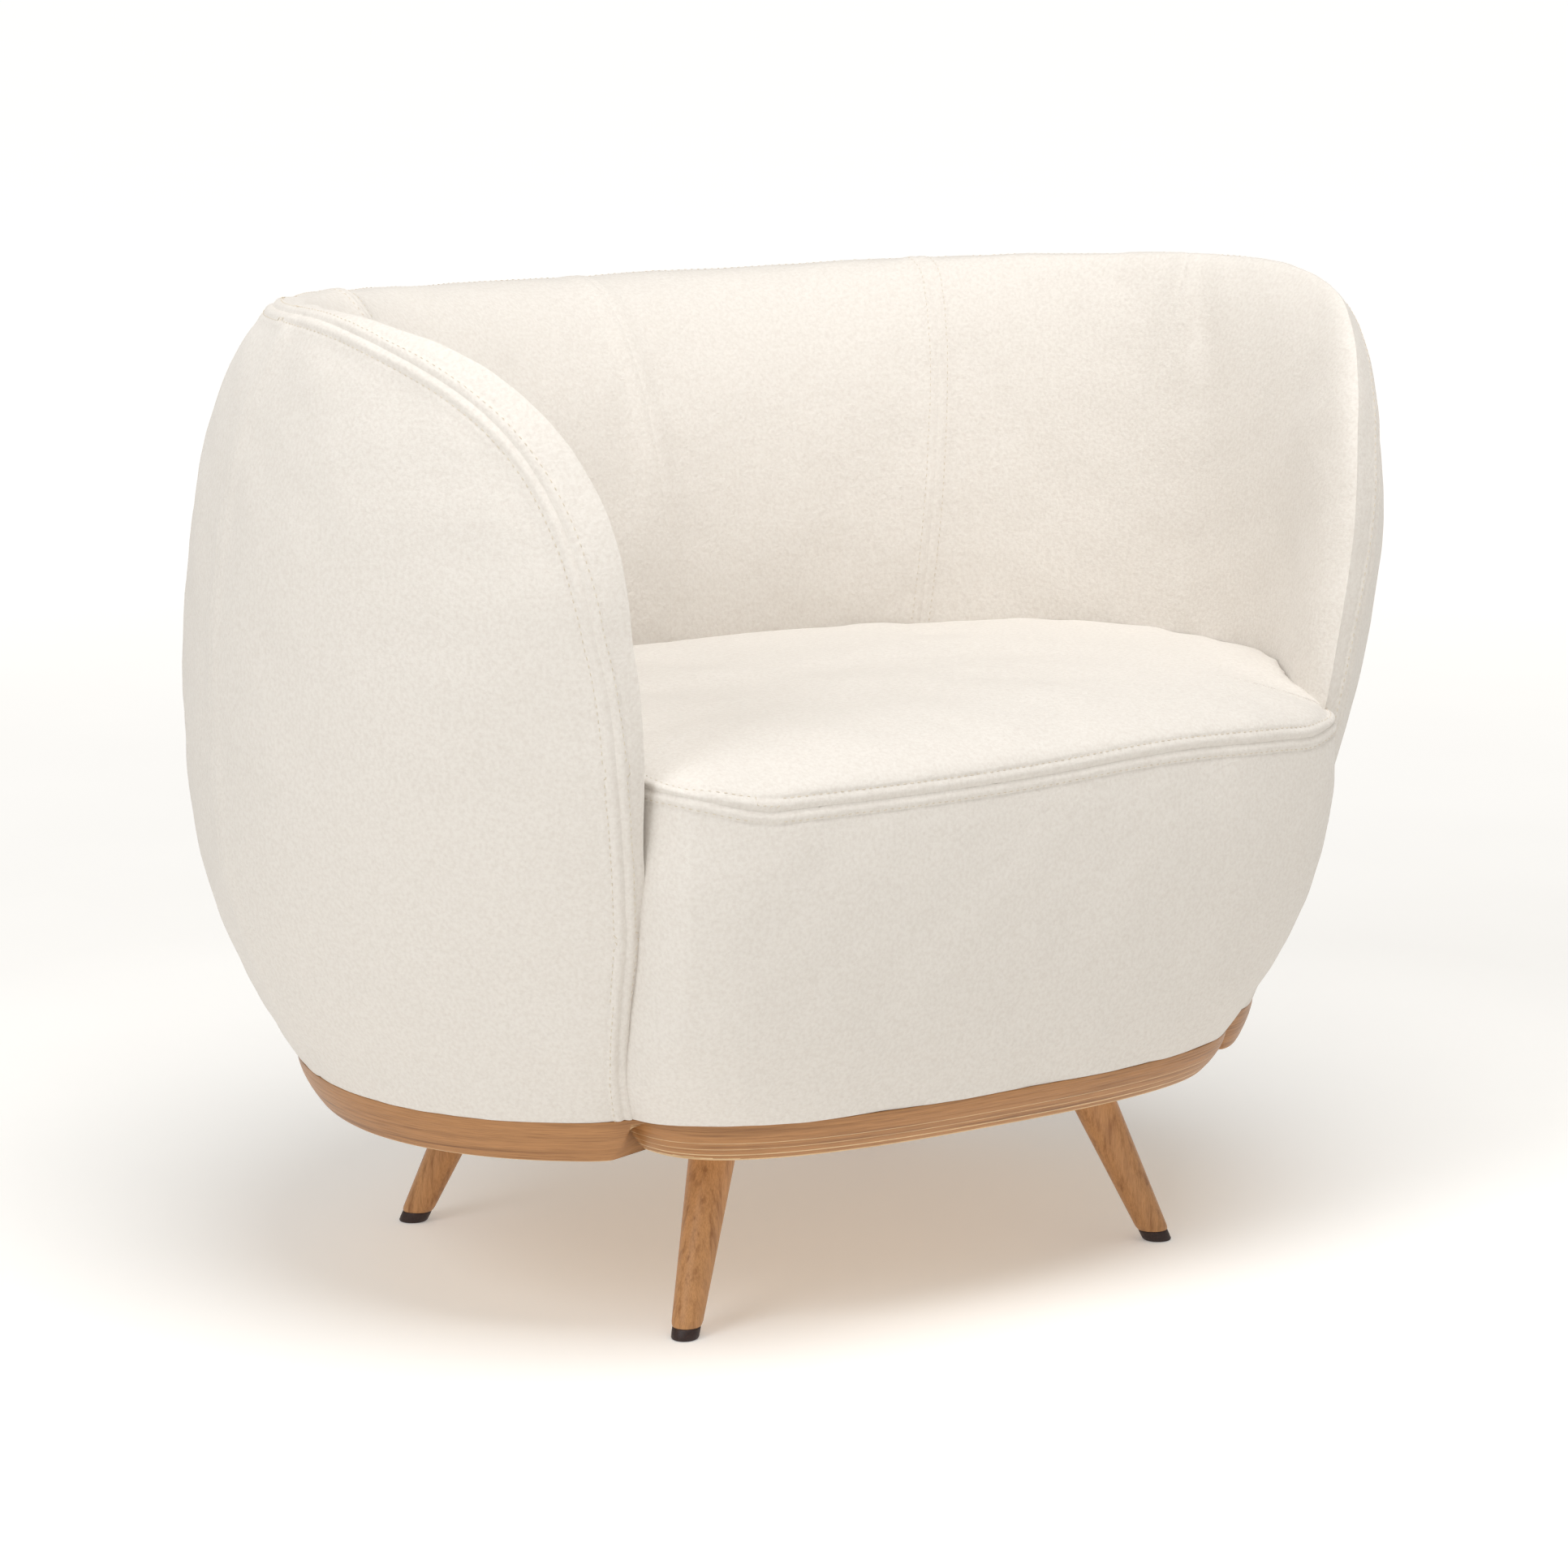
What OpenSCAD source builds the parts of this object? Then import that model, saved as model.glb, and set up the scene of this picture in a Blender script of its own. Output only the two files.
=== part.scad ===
// Upholstered tub armchair on a plinth with four splayed legs.
// Millimetres. +Z is up, the seat faces -Y, and the origin is on the floor
// under the middle of the chair.
//
// The padded shell (arms and back in one sweep) is a wall of changing
// thickness. Its middle line is an egg-shaped plan curve. Each face of the wall
// is the middle line pushed out or in, and the push fades to nothing along the
// rim, where both faces meet in a soft roll. Every layer of the shell, from the
// fabric to the boards, is the same wall at another depth.

/* [Shell size] */
// Half width of the shell at its widest
outer_a = 448; // [430:1:470]
// Depth of the shell behind its own centre
outer_rear = 401; // [380:1:420]
// Depth of the arms' outer curve in front of that centre
outer_front = 416; // [400:1:430]
// Height of the rim at the sides
top_z = 705; // [690:1:730]
// How far the rim dips at the middle of the back
top_dip = 18; // [0:1:30]
// Half width of the seat space
inner_a = 350; // [335:1:360]
// Depth of the seat space behind its own centre
inner_rear = 213; // [200:1:225]

/* [Arms] */
// Direction of the arm's front edge, in degrees from straight back
front_angle = 129.3; // [126:0.1:131]
// Direction where the rim starts to curve down into the arm
shoulder_angle = 79; // [72:1:86]
// Height where the arm's front edge starts to lean back
shoulder_z = 426; // [400:1:450]
// Squareness of the shoulder curve
shoulder_power = 3; // [2:0.1:4]

/* [Base] */
// Underside of the plinth above the floor
plinth_low = 135; // [120:1:150]
// Top of the plinth, where the fabric starts
plinth_high = 164; // [155:1:175]
// Half distance between the feet across the chair
foot_x = 210; // [190:1:220]
// Front feet
foot_front_y = -220; // [-230:1:-200]
// Rear feet
foot_rear_y = 140; // [120:1:160]
// Sideways splay of a leg for each unit of height
splay_x = 0.38; // [0.2:0.01:0.45]
// Front-to-back splay of a leg for each unit of height
splay_y = 0.26; // [0.1:0.01:0.35]
// Leg radius where it meets the plinth
leg_top_r = 17.2; // [14:0.1:20]
// Leg radius at the floor
leg_foot_r = 10.6; // [9:0.1:13]
// Height of a glide under a leg
glide_h = 8; // [5:1:12]

/* [Seat] */
// Height of the seam between the seat top and the front panel
seat_seam_z = 388; // [375:1:395]
// Height of the seat's crown
seat_crown_z = 426; // [415:1:440]
// Half width of the front panel's curve at its fullest
panel_a = 302; // [296:1:305]
// Top of the seat frame that carries the webbing
deck_z = 300; // [285:1:305]

/* [Layers] */
// Thickness of the fabric with its backing
fabric_t = 3; // [2:0.5:4]
// Depth of the foam's inner face under the fabric's face
foam_d = 22; // [16:1:22]
// Depth of the shell boards' inner face
board_d = 26; // [24:1:28]

/* [Hidden] */

fabric_colour = "#f0ece4";
foam_colour = "#ead9a0";
oak_colour = "#c08a56";
beech_colour = "#d9b78a";
ply_colour = "#cfae80";
steel_colour = "#9a9da1";
glide_colour = "#2e1c19";
web_colour = "#5b5348";

// Plan curves of the shell: half width, depth behind and in front of the
// centre, the centre itself and the squareness. They are laid out about the
// chair's plan origin, which plan_y then moves to the middle of its depth.
plan_y = -50;
outer_plan = [outer_a, outer_rear, outer_front, -3, 2];
middle_plan = [394, 350, 305, -70, 2];
inner_plan = [inner_a, inner_rear, 262, -60, 2.3];

// The wall narrows towards the plinth: [height it starts at, power, share of
// the width kept, share of the depth kept], behind and at the arm's front.
taper_rear = [415, 2.46, 0.84, 0.775];
taper_front = [557, 1.55, 0.837, 0.68];
taper_turn = 80;            // where the front taper starts to take over
rim_roll = 2;               // roundness of the rim over the back
arm_roll = 7.5;             // roundness of the arm's front edge
inner_low_z = 300;          // the inner padding stops at the seat frame
mm_angle = 0.143;           // degrees of the plan curve in one millimetre
touch = 0.3;                // gap left between layers that lie together

// Seams of the cover, in degrees from straight back.
seam_outer = 81.5;
seam_back = 40;
seam_side = 66;
arm_end = front_angle;

// Front panel of the seat: half width, depth, centre and squareness, at the
// plinth and at the height where the panel is fullest.
panel_low = [252, 106, -160, 2.64];
panel_full = [panel_a, 79, -219, 3.5];
panel_full_z = 355;
panel_power = 1.9;
board_front_t = 12;

function mix(a, b, t) = a + (b - a) * t;
function clamp(t) = min(1, max(0, t));
function ease(t) = let (u = clamp(t)) u * u * (3 - 2 * u);
function steps(a, b, n) = [for (i = [0:n]) mix(a, b, i / n)];
function side_of(t) = t < 0 ? -1 : 1;

// Point of a plan curve in direction phi, measured from straight back.
function plan_pt(phi, plan) =
    let (
        n = plan[4],
        s = sin(phi),
        c = cos(phi),
        g = pow(pow(abs(s), n) + pow(abs(c), n), -1 / n)
    )
    [plan[0] * s * g, plan[3] + (c >= 0 ? plan[1] : plan[2]) * c * g];

// How much of its width and depth the wall keeps at height z.
function keep(phi, z) =
    let (
        f = ease((abs(phi) - taper_turn) / (front_angle - taper_turn)),
        start = mix(taper_rear[0], taper_front[0], f),
        power = mix(taper_rear[1], taper_front[1], f),
        t = pow(max(0, (start - z) / (start - plinth_high)), power),
        front = ease(0.5 - cos(phi) / 1.2)
    )
    [
        1 - (1 - mix(taper_rear[2], taper_front[2], f)) * t,
        1 - (1 - mix(taper_rear[3], taper_front[3], front)) * t
    ];

function end_angle(d) = front_angle - d * mm_angle;
function rim_top(phi, d) = top_z - d - top_dip * pow(max(0, cos(phi)), 2);
function arm_share(phi, d) =
    clamp((abs(phi) - shoulder_angle) / (end_angle(d) - shoulder_angle));
function rim_z(phi, d) =
    let (a = arm_share(phi, d))
    mix(shoulder_z, rim_top(phi, d), pow(1 - pow(a, shoulder_power), 1 / shoulder_power));

// Fullness of the wall: 1 well below the rim, 0 on the rim itself.
function fullness(phi, z, d) =
    let (
        a = arm_share(phi, d),
        h = clamp((z - shoulder_z) / (rim_top(phi, d) - shoulder_z)),
        q = min(1, pow(pow(a, shoulder_power) + pow(h, shoulder_power), 1 / shoulder_power)),
        k = mix(rim_roll, arm_roll, q > 0 ? pow(a / q, 3) : 0)
    )
    sqrt(1 - pow(q, k));

// Point of the wall's face at depth d: side 1 is the outside, -1 the seat side.
function wall_pt(phi, z, side, d) =
    let (
        m = plan_pt(phi, middle_plan),
        face = plan_pt(phi, side > 0 ? outer_plan : inner_plan),
        run = face - m,
        push = run * (1 - d / norm(run)) * fullness(phi, z, d),
        k = keep(phi, z)
    )
    [(m[0] + push[0]) * k[0], (m[1] + push[1]) * k[1] + plan_y, z];

// Direction of grid line u at depth d: the lines crowd towards the arm's end.
function line_angle(u, d) =
    abs(u) <= shoulder_angle ? u
    : side_of(u) * (shoulder_angle + (abs(u) - shoulder_angle)
        * (end_angle(d) - shoulder_angle) / (front_angle - shoulder_angle));

// Grid point: w runs from 0 at the lower edge to 1 on the rim.
function grid_pt(u, w, side, d) =
    let (
        phi = line_angle(u, d),
        low = side > 0 ? plinth_high : inner_low_z,
        z = mix(low, rim_z(phi, d), w)
    )
    wall_pt(phi, z, side, d);

// Grid lines shared by every layer, so that nested layers never cross.
BACK_LINES = concat(steps(0, seam_back, 5), [48.7, 57.3, seam_side]);
ARM_LINES = concat([73.5, seam_outer], steps(89.5, 121.5, 4), [124.5, 126.8, 128.4, arm_end]);
HALF_LINES = concat(BACK_LINES, ARM_LINES);
ALL_LINES = concat([for (i = [len(HALF_LINES) - 1:-1:1]) -HALF_LINES[i]], HALF_LINES);
RISE = [for (t = [0, 9, 18, 27, 36, 46, 56, 66, 74, 81, 86, 90]) sin(t)];
function lines_between(a, b) = [for (u = ALL_LINES) if (u >= a - 0.01 && u <= b + 0.01) u];

// Closed solid between two matching grids of points, given row by row. Two
// solids that share an edge wall meet in the same triangles when the one whose
// grids are in the opposite order is given turned = true.
module sheet_solid(front, back, turned = false) {
    rows = len(front);
    cols = len(front[0]);
    total = rows * cols;
    function at(r, c) = r * cols + c;
    function quad(a, b, c, d) = [[a, b, c], [a, c, d]];
    function edge(a, b, c, d) = turned ? [[b, c, d], [b, d, a]] : quad(a, b, c, d);
    faces = [
        for (r = [0:rows - 2], c = [0:cols - 2])
            each quad(at(r, c), at(r, c + 1), at(r + 1, c + 1), at(r + 1, c)),
        for (r = [0:rows - 2], c = [0:cols - 2])
            each quad(total + at(r, c), total + at(r + 1, c), total + at(r + 1, c + 1),
                total + at(r, c + 1)),
        for (c = [0:cols - 2], r = [0, rows - 1])
            each r == 0
                ? edge(at(r, c + 1), at(r, c), total + at(r, c), total + at(r, c + 1))
                : edge(at(r, c), at(r, c + 1), total + at(r, c + 1), total + at(r, c)),
        for (r = [0:rows - 2], c = [0, cols - 1])
            each c == 0
                ? edge(at(r, c), at(r + 1, c), total + at(r + 1, c), total + at(r, c))
                : edge(total + at(r + 1, c), at(r + 1, c), at(r, c), total + at(r, c))
    ];
    polyhedron([each each front, each each back], faces);
}

// One layer of the shell's wall, from grid line a to grid line b.
module wall_layer(side, a, b, d_face, d_back) {
    lines = lines_between(a, b);
    near = side > 0 ? d_face : d_back;
    far = side > 0 ? d_back : d_face;
    sheet_solid(
        [for (w = RISE) [for (u = lines) grid_pt(u, w, side, near)]],
        [for (w = RISE) [for (u = lines) grid_pt(u, w, side, far)]],
        side < 0
    );
}

module cover_layer(side, a, b)
    color(fabric_colour)
        wall_layer(side, a, b, 0, fabric_t);

module foam_layer(side, a, b)
    color(foam_colour)
        wall_layer(side, a, b, fabric_t + touch, foam_d);

module board_layer(side)
    color(ply_colour)
        wall_layer(side, -arm_end, arm_end, foam_d + touch, board_d);

// Middle of the wall at height z, moved t millimetres outwards.
function middle_pt(phi, z, t) =
    let (
        m = plan_pt(phi, middle_plan),
        run = plan_pt(phi, outer_plan) - m,
        p = m + run / norm(run) * t,
        k = keep(phi, z)
    )
    [p[0] * k[0], p[1] * k[1] + plan_y];

// Curved rail inside the wall, between directions -reach and reach.
module curved_rail(low, high, reach, t_in, t_out) {
    z = (low + high) / 2;
    outline = concat(
        [for (phi = steps(-reach, reach, 28)) middle_pt(phi, z, t_out)],
        [for (phi = steps(reach, -reach, 28)) middle_pt(phi, z, t_in)]
    );
    color(ply_colour)
        translate([0, 0, low])
            linear_extrude(high - low)
                polygon(outline);
}

// Rails: lower and upper height, reach in degrees, inner and outer face.
base_rail_size = [plinth_high, 190, 112, -4, 12];
belt_rail_size = [400, 424, 112, -12, 18];
top_rail_size = [598, 622, 102, -8, 13];
post_size = [38, 12];       // along the wall, across the wall
post_back = 24;
post_side = 76;
post_arm = 104;

module rail_from(r)
    curved_rail(r[0], r[1], r[2], r[3], r[4]);

module stud_end(phi)
    rotate(-phi)
        translate([-post_size[0] / 2, -post_size[1] / 2, 0])
            cube([post_size[0], post_size[1], 1]);

// Straight stud between two heights in direction phi of the wall.
module stud(phi, low, high, t_low, t_high) {
    a = middle_pt(phi, low, t_low);
    b = middle_pt(phi, high, t_high);
    hull() {
        translate([a[0], a[1], low])
            stud_end(phi);
        translate([b[0], b[1], high - 1])
            stud_end(phi);
    }
}

module wall_post(phi)
    color(beech_colour) {
        stud(phi, base_rail_size[1], belt_rail_size[0], 4, 3);
        stud(phi, belt_rail_size[1], top_rail_size[0], 3, 2);
    }

module back_post_left() wall_post(-post_back);
module back_post_right() wall_post(post_back);
module side_post_left() wall_post(-post_side);
module side_post_right() wall_post(post_side);
module arm_post_left() wall_post(-post_arm);
module arm_post_right() wall_post(post_arm);

// Screws that hold the plinth to the base rail and to the seat's posts.
screw_r = 2;
screw_head_r = 4.2;
screw_head_h = 3;
screw_top = 186;
rail_screw_angles = [-100, -62, -40, 0, 40, 62, 100];

// Seat frame: half width, front and rear faces, rail width and height.
frame_x = 225;
frame_front_y = -244;
frame_rear_y = 46;
rail_w = 28;
rail_h = 60;
post_w = 28;
post_x = 185;
strap_t = 1.5;
strap_w = 50;
strap_pitch_x = 72;
strap_pitch_y = 58;
felt_t = 3;
frame_mid_y = (frame_front_y + frame_rear_y) / 2;

module rail_screw_spots()
    for (phi = rail_screw_angles) {
        p = middle_pt(phi, (base_rail_size[0] + base_rail_size[1]) / 2, 4);
        translate([p[0], p[1], 0])
            children();
    }

module seat_post_spots()
    for (sx = [-1, 1], y = [frame_front_y + 16, frame_rear_y - 16])
        translate([sx * post_x, y, 0])
            children();

module all_screw_spots() {
    rail_screw_spots()
        children();
    seat_post_spots()
        children();
}

module screw_shank()
    translate([0, 0, plinth_low + screw_head_h])
        cylinder(r = screw_r, h = screw_top - plinth_low - screw_head_h, $fn = 24);

module plinth_screws()
    color(steel_colour)
        all_screw_spots() {
            screw_shank();
            translate([0, 0, plinth_low + 1])
                cylinder(r = screw_head_r, h = screw_head_h - 1, $fn = 32);
        }

module screw_holes()
    all_screw_spots() {
        screw_shank();
        translate([0, 0, plinth_low - 1])
            cylinder(r = screw_head_r, h = screw_head_h + 1, $fn = 32);
    }

module base_rail()
    difference() {
        rail_from(base_rail_size);
        rail_screw_spots()
            screw_shank();
    }

module belt_rail()
    rail_from(belt_rail_size);

module top_rail()
    rail_from(top_rail_size);

// Legs. A leg's own frame stands at its foot with +Z up the leaning axis.
bolt_r = 4;
bolt_down = 36;
bolt_up = 22;
insert_r = 6.5;
insert_low = 4;
insert_high = 20;
glide_r = 9.6;
nail_r = 1.2;
nail_up = 14;
lean_length = norm([splay_x, splay_y, 1]);

module in_leg_frame(sx, sy)
    translate([sx * foot_x, sy < 0 ? foot_front_y : foot_rear_y, 0])
        rotate([0, acos(1 / lean_length), atan2(-sy * splay_y, -sx * splay_x)])
            children();

// Twelve-sided bar along a leg's axis between two heights above the floor.
module axis_bar(low, high, r)
    translate([0, 0, low * lean_length])
        cylinder(r = r, h = (high - low) * lean_length, $fn = 12);

// Thin level slice of a leg of radius r, centred where its axis is at height z.
slice_h = 0.05;
module level_slice(sx, sy, z, r)
    translate([
        sx * (foot_x - splay_x * z),
        (sy < 0 ? foot_front_y : foot_rear_y) - sy * splay_y * z,
        z
    ])
        rotate(atan2(-sy * splay_y, -sx * splay_x))
            scale([lean_length, 1, 1])
                cylinder(r = r, h = slice_h, $fn = 64);

// Upright nail that holds a glide under its leg.
module nail_bar(sx, sy, low)
    translate([
        sx * (foot_x - splay_x * glide_h),
        (sy < 0 ? foot_front_y : foot_rear_y) - sy * splay_y * glide_h,
        low
    ])
        cylinder(r = nail_r, h = glide_h + nail_up - low, $fn = 24);

module leaning_bar(sx, sy, low, high, r_low, r_high)
    hull() {
        level_slice(sx, sy, low, r_low);
        level_slice(sx, sy, high - slice_h, r_high);
    }

module leg(sx, sy)
    color(oak_colour)
        difference() {
            leaning_bar(sx, sy, glide_h, plinth_low, leg_foot_r, leg_top_r);
            in_leg_frame(sx, sy)
                axis_bar(plinth_low - bolt_down, plinth_low + 20, bolt_r);
            nail_bar(sx, sy, 3);
        }

module glide(sx, sy)
    color(glide_colour)
        difference() {
            leaning_bar(sx, sy, 0, glide_h, glide_r - 0.8, glide_r);
            nail_bar(sx, sy, 3);
        }

module each_leg()
    for (sx = [-1, 1], sy = [-1, 1])
        in_leg_frame(sx, sy)
            children();

module leg_front_left() leg(-1, -1);
module leg_front_right() leg(1, -1);
module leg_rear_left() leg(-1, 1);
module leg_rear_right() leg(1, 1);
module glide_front_left() glide(-1, -1);
module glide_front_right() glide(1, -1);
module glide_rear_left() glide(-1, 1);
module glide_rear_right() glide(1, 1);

module glide_nails()
    color(steel_colour)
        for (sx = [-1, 1], sy = [-1, 1])
            nail_bar(sx, sy, 3);

module leg_bolts()
    color(steel_colour)
        each_leg()
            axis_bar(plinth_low - bolt_down, plinth_low + bolt_up, bolt_r);

module leg_inserts()
    color(steel_colour)
        each_leg()
            difference() {
                axis_bar(plinth_low + insert_low, plinth_low + insert_high, insert_r);
                axis_bar(plinth_low, plinth_low + bolt_up, bolt_r);
            }

// Seat frame, straps and felt.
module seat_rail_across(y)
    color(beech_colour)
        translate([-frame_x, y, deck_z - rail_h])
            cube([2 * frame_x, rail_w, rail_h]);

module seat_rail_along(sx)
    color(beech_colour)
        translate([sx > 0 ? frame_x - rail_w : -frame_x, frame_front_y + rail_w, deck_z - rail_h])
            cube([rail_w, frame_rear_y - frame_front_y - 2 * rail_w, rail_h + strap_t]);

module seat_rail_front() seat_rail_across(frame_front_y);
module seat_rail_rear() seat_rail_across(frame_rear_y - rail_w);
module seat_rail_left() seat_rail_along(-1);
module seat_rail_right() seat_rail_along(1);

module seat_posts()
    color(beech_colour)
        difference() {
            seat_post_spots()
                translate([-post_w / 2, -post_w / 2, plinth_high])
                    cube([post_w, post_w, deck_z - rail_h - plinth_high]);
            seat_post_spots()
                screw_shank();
        }

module webbing_lengthwise()
    color(web_colour)
        for (i = [-2:2])
            translate([i * strap_pitch_x - strap_w / 2, frame_front_y, deck_z])
                cube([strap_w, frame_rear_y - frame_front_y, strap_t]);

module webbing_crosswise()
    color(web_colour)
        for (i = [-1.5:1:1.5])
            translate([-frame_x, frame_mid_y + i * strap_pitch_y - strap_w / 2, deck_z + strap_t])
                cube([2 * frame_x, strap_w, strap_t]);

module seat_felt()
    color("#8d8a84")
        translate([-frame_x, frame_front_y, deck_z + 2 * strap_t])
            cube([2 * frame_x, frame_rear_y - frame_front_y, felt_t]);

// Front panel of the seat at depth d under its face. It stops short of the
// arms' front edges, which stand beside it.
nose_gap = 9;
function panel_at(z) =
    mix(panel_full, panel_low,
        pow(clamp((panel_full_z - z) / (panel_full_z - plinth_high)), panel_power));
function nose_x(z) = wall_pt(front_angle, z, 1, 0)[0];

function panel_pt(t, z, d) =
    let (
        p = panel_at(z),
        half = p[0] - d,
        x = t * min(half, nose_x(z) - nose_gap),
        y = p[2] - (p[1] - d) * pow(max(0, 1 - pow(abs(x) / half, p[3])), 1 / p[3])
    )
    [x, y + plan_y, z];

PANEL_ACROSS = [for (t = [-90:7.5:90]) sin(t)];
PANEL_UP = steps(0, 1, 8);

module panel_layer(high_z, d_face, d_back)
    sheet_solid(
        [for (w = PANEL_UP) [for (t = PANEL_ACROSS)
            panel_pt(t, mix(plinth_high, high_z, w), d_back)]],
        [for (w = PANEL_UP) [for (t = PANEL_ACROSS)
            panel_pt(t, mix(plinth_high, high_z, w), d_face)]]
    );

front_foam_d = 28;
front_board_d = 40;

module cover_seat_front()
    color(fabric_colour)
        panel_layer(seat_seam_z, 0, fabric_t);

module seat_front_foam()
    color(foam_colour)
        panel_layer(seat_seam_z - 4, fabric_t + touch, front_foam_d);

module seat_front_board()
    color(ply_colour)
        panel_layer(seat_seam_z - 10, front_foam_d + touch, front_board_d);

// Outline of the seat: along the arms and the back it keeps a gap to the
// wall's inner face at height z, and in front it follows the panel at depth d.
seat_gap = 2;
seat_reach = 127;
seat_middle = [0, plan_y - 60];
function seat_outline(z, gap, d) = [
    for (u = lines_between(-seat_reach, seat_reach))
        let (p = wall_pt(u, z, -1, -gap)) [p[0], p[1]],
    for (i = [len(PANEL_ACROSS) - 1:-1:0])
        let (p = panel_pt(PANEL_ACROSS[i], z, d)) [p[0], p[1]]
];

core_low_z = deck_z + 2 * strap_t + felt_t;
core_high_z = 396;

module seat_core()
    color(foam_colour)
        translate([0, 0, core_low_z])
            linear_extrude(core_high_z - core_low_z)
                polygon(seat_outline(core_low_z, seat_gap + fabric_t, front_board_d + 2));

// Closed solid through rings of equal length, capped from two middle points.
module ring_solid(rings, first_mid, last_mid) {
    n = len(rings[0]);
    m = len(rings);
    first = m * n;
    faces = [
        for (r = [0:m - 2], i = [0:n - 1])
            let (j = (i + 1) % n)
            each [[r * n + i, r * n + j, (r + 1) * n + j],
                [r * n + i, (r + 1) * n + j, (r + 1) * n + i]],
        for (i = [0:n - 1])
            let (j = (i + 1) % n)
            each [[first, j, i], [first + 1, (m - 1) * n + i, (m - 1) * n + j]]
    ];
    polyhedron([each each rings, first_mid, last_mid], faces);
}

// Dome of the seat as rings: [inset, share of the rise] from its side upwards.
DOME = [[0, 0], [0, 0.45], [7, 0.68], [24, 0.84], [60, 0.94], [110, 0.985], [180, 1]];

function dome_rings(low_z, d) =
    let (
        rise = seat_crown_z - d - low_z,
        outline = seat_outline(low_z, seat_gap + d, d)
    )
    [for (s = DOME) [for (p = outline)
        let (q = seat_middle + (p - seat_middle) * (1 - s[0] / 300))
        [q[0], q[1], low_z + rise * s[1]]]];

function seat_axis(z) = [seat_middle[0], seat_middle[1], z];

module level_slab(low, high)
    translate([-outer_a, -outer_a, low])
        cube([2 * outer_a, 2 * outer_a, high - low]);

cover_low_z = seat_seam_z + 1;
topper_d = fabric_t + touch;

module seat_topper()
    color(foam_colour)
        intersection() {
            ring_solid(dome_rings(cover_low_z, topper_d),
                seat_axis(cover_low_z), seat_axis(seat_crown_z - topper_d));
            level_slab(core_high_z + touch, seat_crown_z);
        }

module cover_seat_top() {
    under = dome_rings(cover_low_z, fabric_t);
    color(fabric_colour)
        ring_solid(
            concat([for (i = [len(under) - 1:-1:0]) under[i]], dome_rings(cover_low_z, 0)),
            seat_axis(seat_crown_z - fabric_t),
            seat_axis(seat_crown_z)
        );
}

// The plinth follows the fabric's lower edge and curves in below it.
PLINTH_EDGE = [[0, 17], [0.2, 11], [0.5, 5], [0.78, 1.5], [1, 0]];  // share of height, inset

function plinth_ring(z, d) = [
    for (u = ALL_LINES)
        let (p = wall_pt(line_angle(u, d), plinth_high, 1, d / 0.8)) [p[0], p[1], z],
    for (i = [len(PANEL_ACROSS) - 1:-1:0])
        let (p = panel_pt(PANEL_ACROSS[i], plinth_high, d)) [p[0], p[1], z]
];

module plinth_board()
    color(oak_colour)
        difference() {
            ring_solid(
                [for (e = PLINTH_EDGE)
                    plinth_ring(mix(plinth_low, plinth_high, e[0]), e[1])],
                [0, plan_y, plinth_low],
                [0, plan_y, plinth_high]
            );
            each_leg()
                axis_bar(plinth_low - 12, plinth_low + insert_high, insert_r);
            each_leg()
                axis_bar(plinth_low, plinth_low + bolt_up, bolt_r);
            screw_holes();
        }

// Layers of the shell.
module board_outer() board_layer(1);
module board_inner() board_layer(-1);
module foam_outer_back() foam_layer(1, -seam_side, seam_side);
module foam_outer_left() foam_layer(1, -arm_end, -seam_side);
module foam_outer_right() foam_layer(1, seam_side, arm_end);
module foam_inner_back() foam_layer(-1, -seam_side, seam_side);
module foam_inner_left() foam_layer(-1, -arm_end, -seam_side);
module foam_inner_right() foam_layer(-1, seam_side, arm_end);
module cover_outer_back() cover_layer(1, -seam_outer, seam_outer);
module cover_outer_left() cover_layer(1, -arm_end, -seam_outer);
module cover_outer_right() cover_layer(1, seam_outer, arm_end);
module cover_inner_back_left() cover_layer(-1, -seam_back, 0);
module cover_inner_back_right() cover_layer(-1, 0, seam_back);
module cover_inner_side_left() cover_layer(-1, -seam_side, -seam_back);
module cover_inner_side_right() cover_layer(-1, seam_back, seam_side);
module cover_inner_arm_left() cover_layer(-1, -arm_end, -seam_side);
module cover_inner_arm_right() cover_layer(-1, seam_side, arm_end);

plinth_board();
leg_front_left();
leg_front_right();
leg_rear_left();
leg_rear_right();
glide_front_left();
glide_front_right();
glide_rear_left();
glide_rear_right();
glide_nails();
leg_bolts();
leg_inserts();
plinth_screws();
base_rail();
belt_rail();
top_rail();
back_post_left();
back_post_right();
side_post_left();
side_post_right();
arm_post_left();
arm_post_right();
board_outer();
board_inner();
foam_outer_back();
foam_outer_left();
foam_outer_right();
foam_inner_back();
foam_inner_left();
foam_inner_right();
seat_rail_front();
seat_rail_rear();
seat_rail_left();
seat_rail_right();
seat_posts();
webbing_lengthwise();
webbing_crosswise();
seat_felt();
seat_core();
seat_topper();
seat_front_board();
seat_front_foam();
cover_seat_top();
cover_seat_front();
cover_outer_back();
cover_outer_left();
cover_outer_right();
cover_inner_back_left();
cover_inner_back_right();
cover_inner_side_left();
cover_inner_side_right();
cover_inner_arm_left();
cover_inner_arm_right();
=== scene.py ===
import math

import bmesh
import bpy
import numpy as np
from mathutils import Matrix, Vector
from mathutils.bvhtree import BVHTree
from mathutils.kdtree import KDTree


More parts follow.
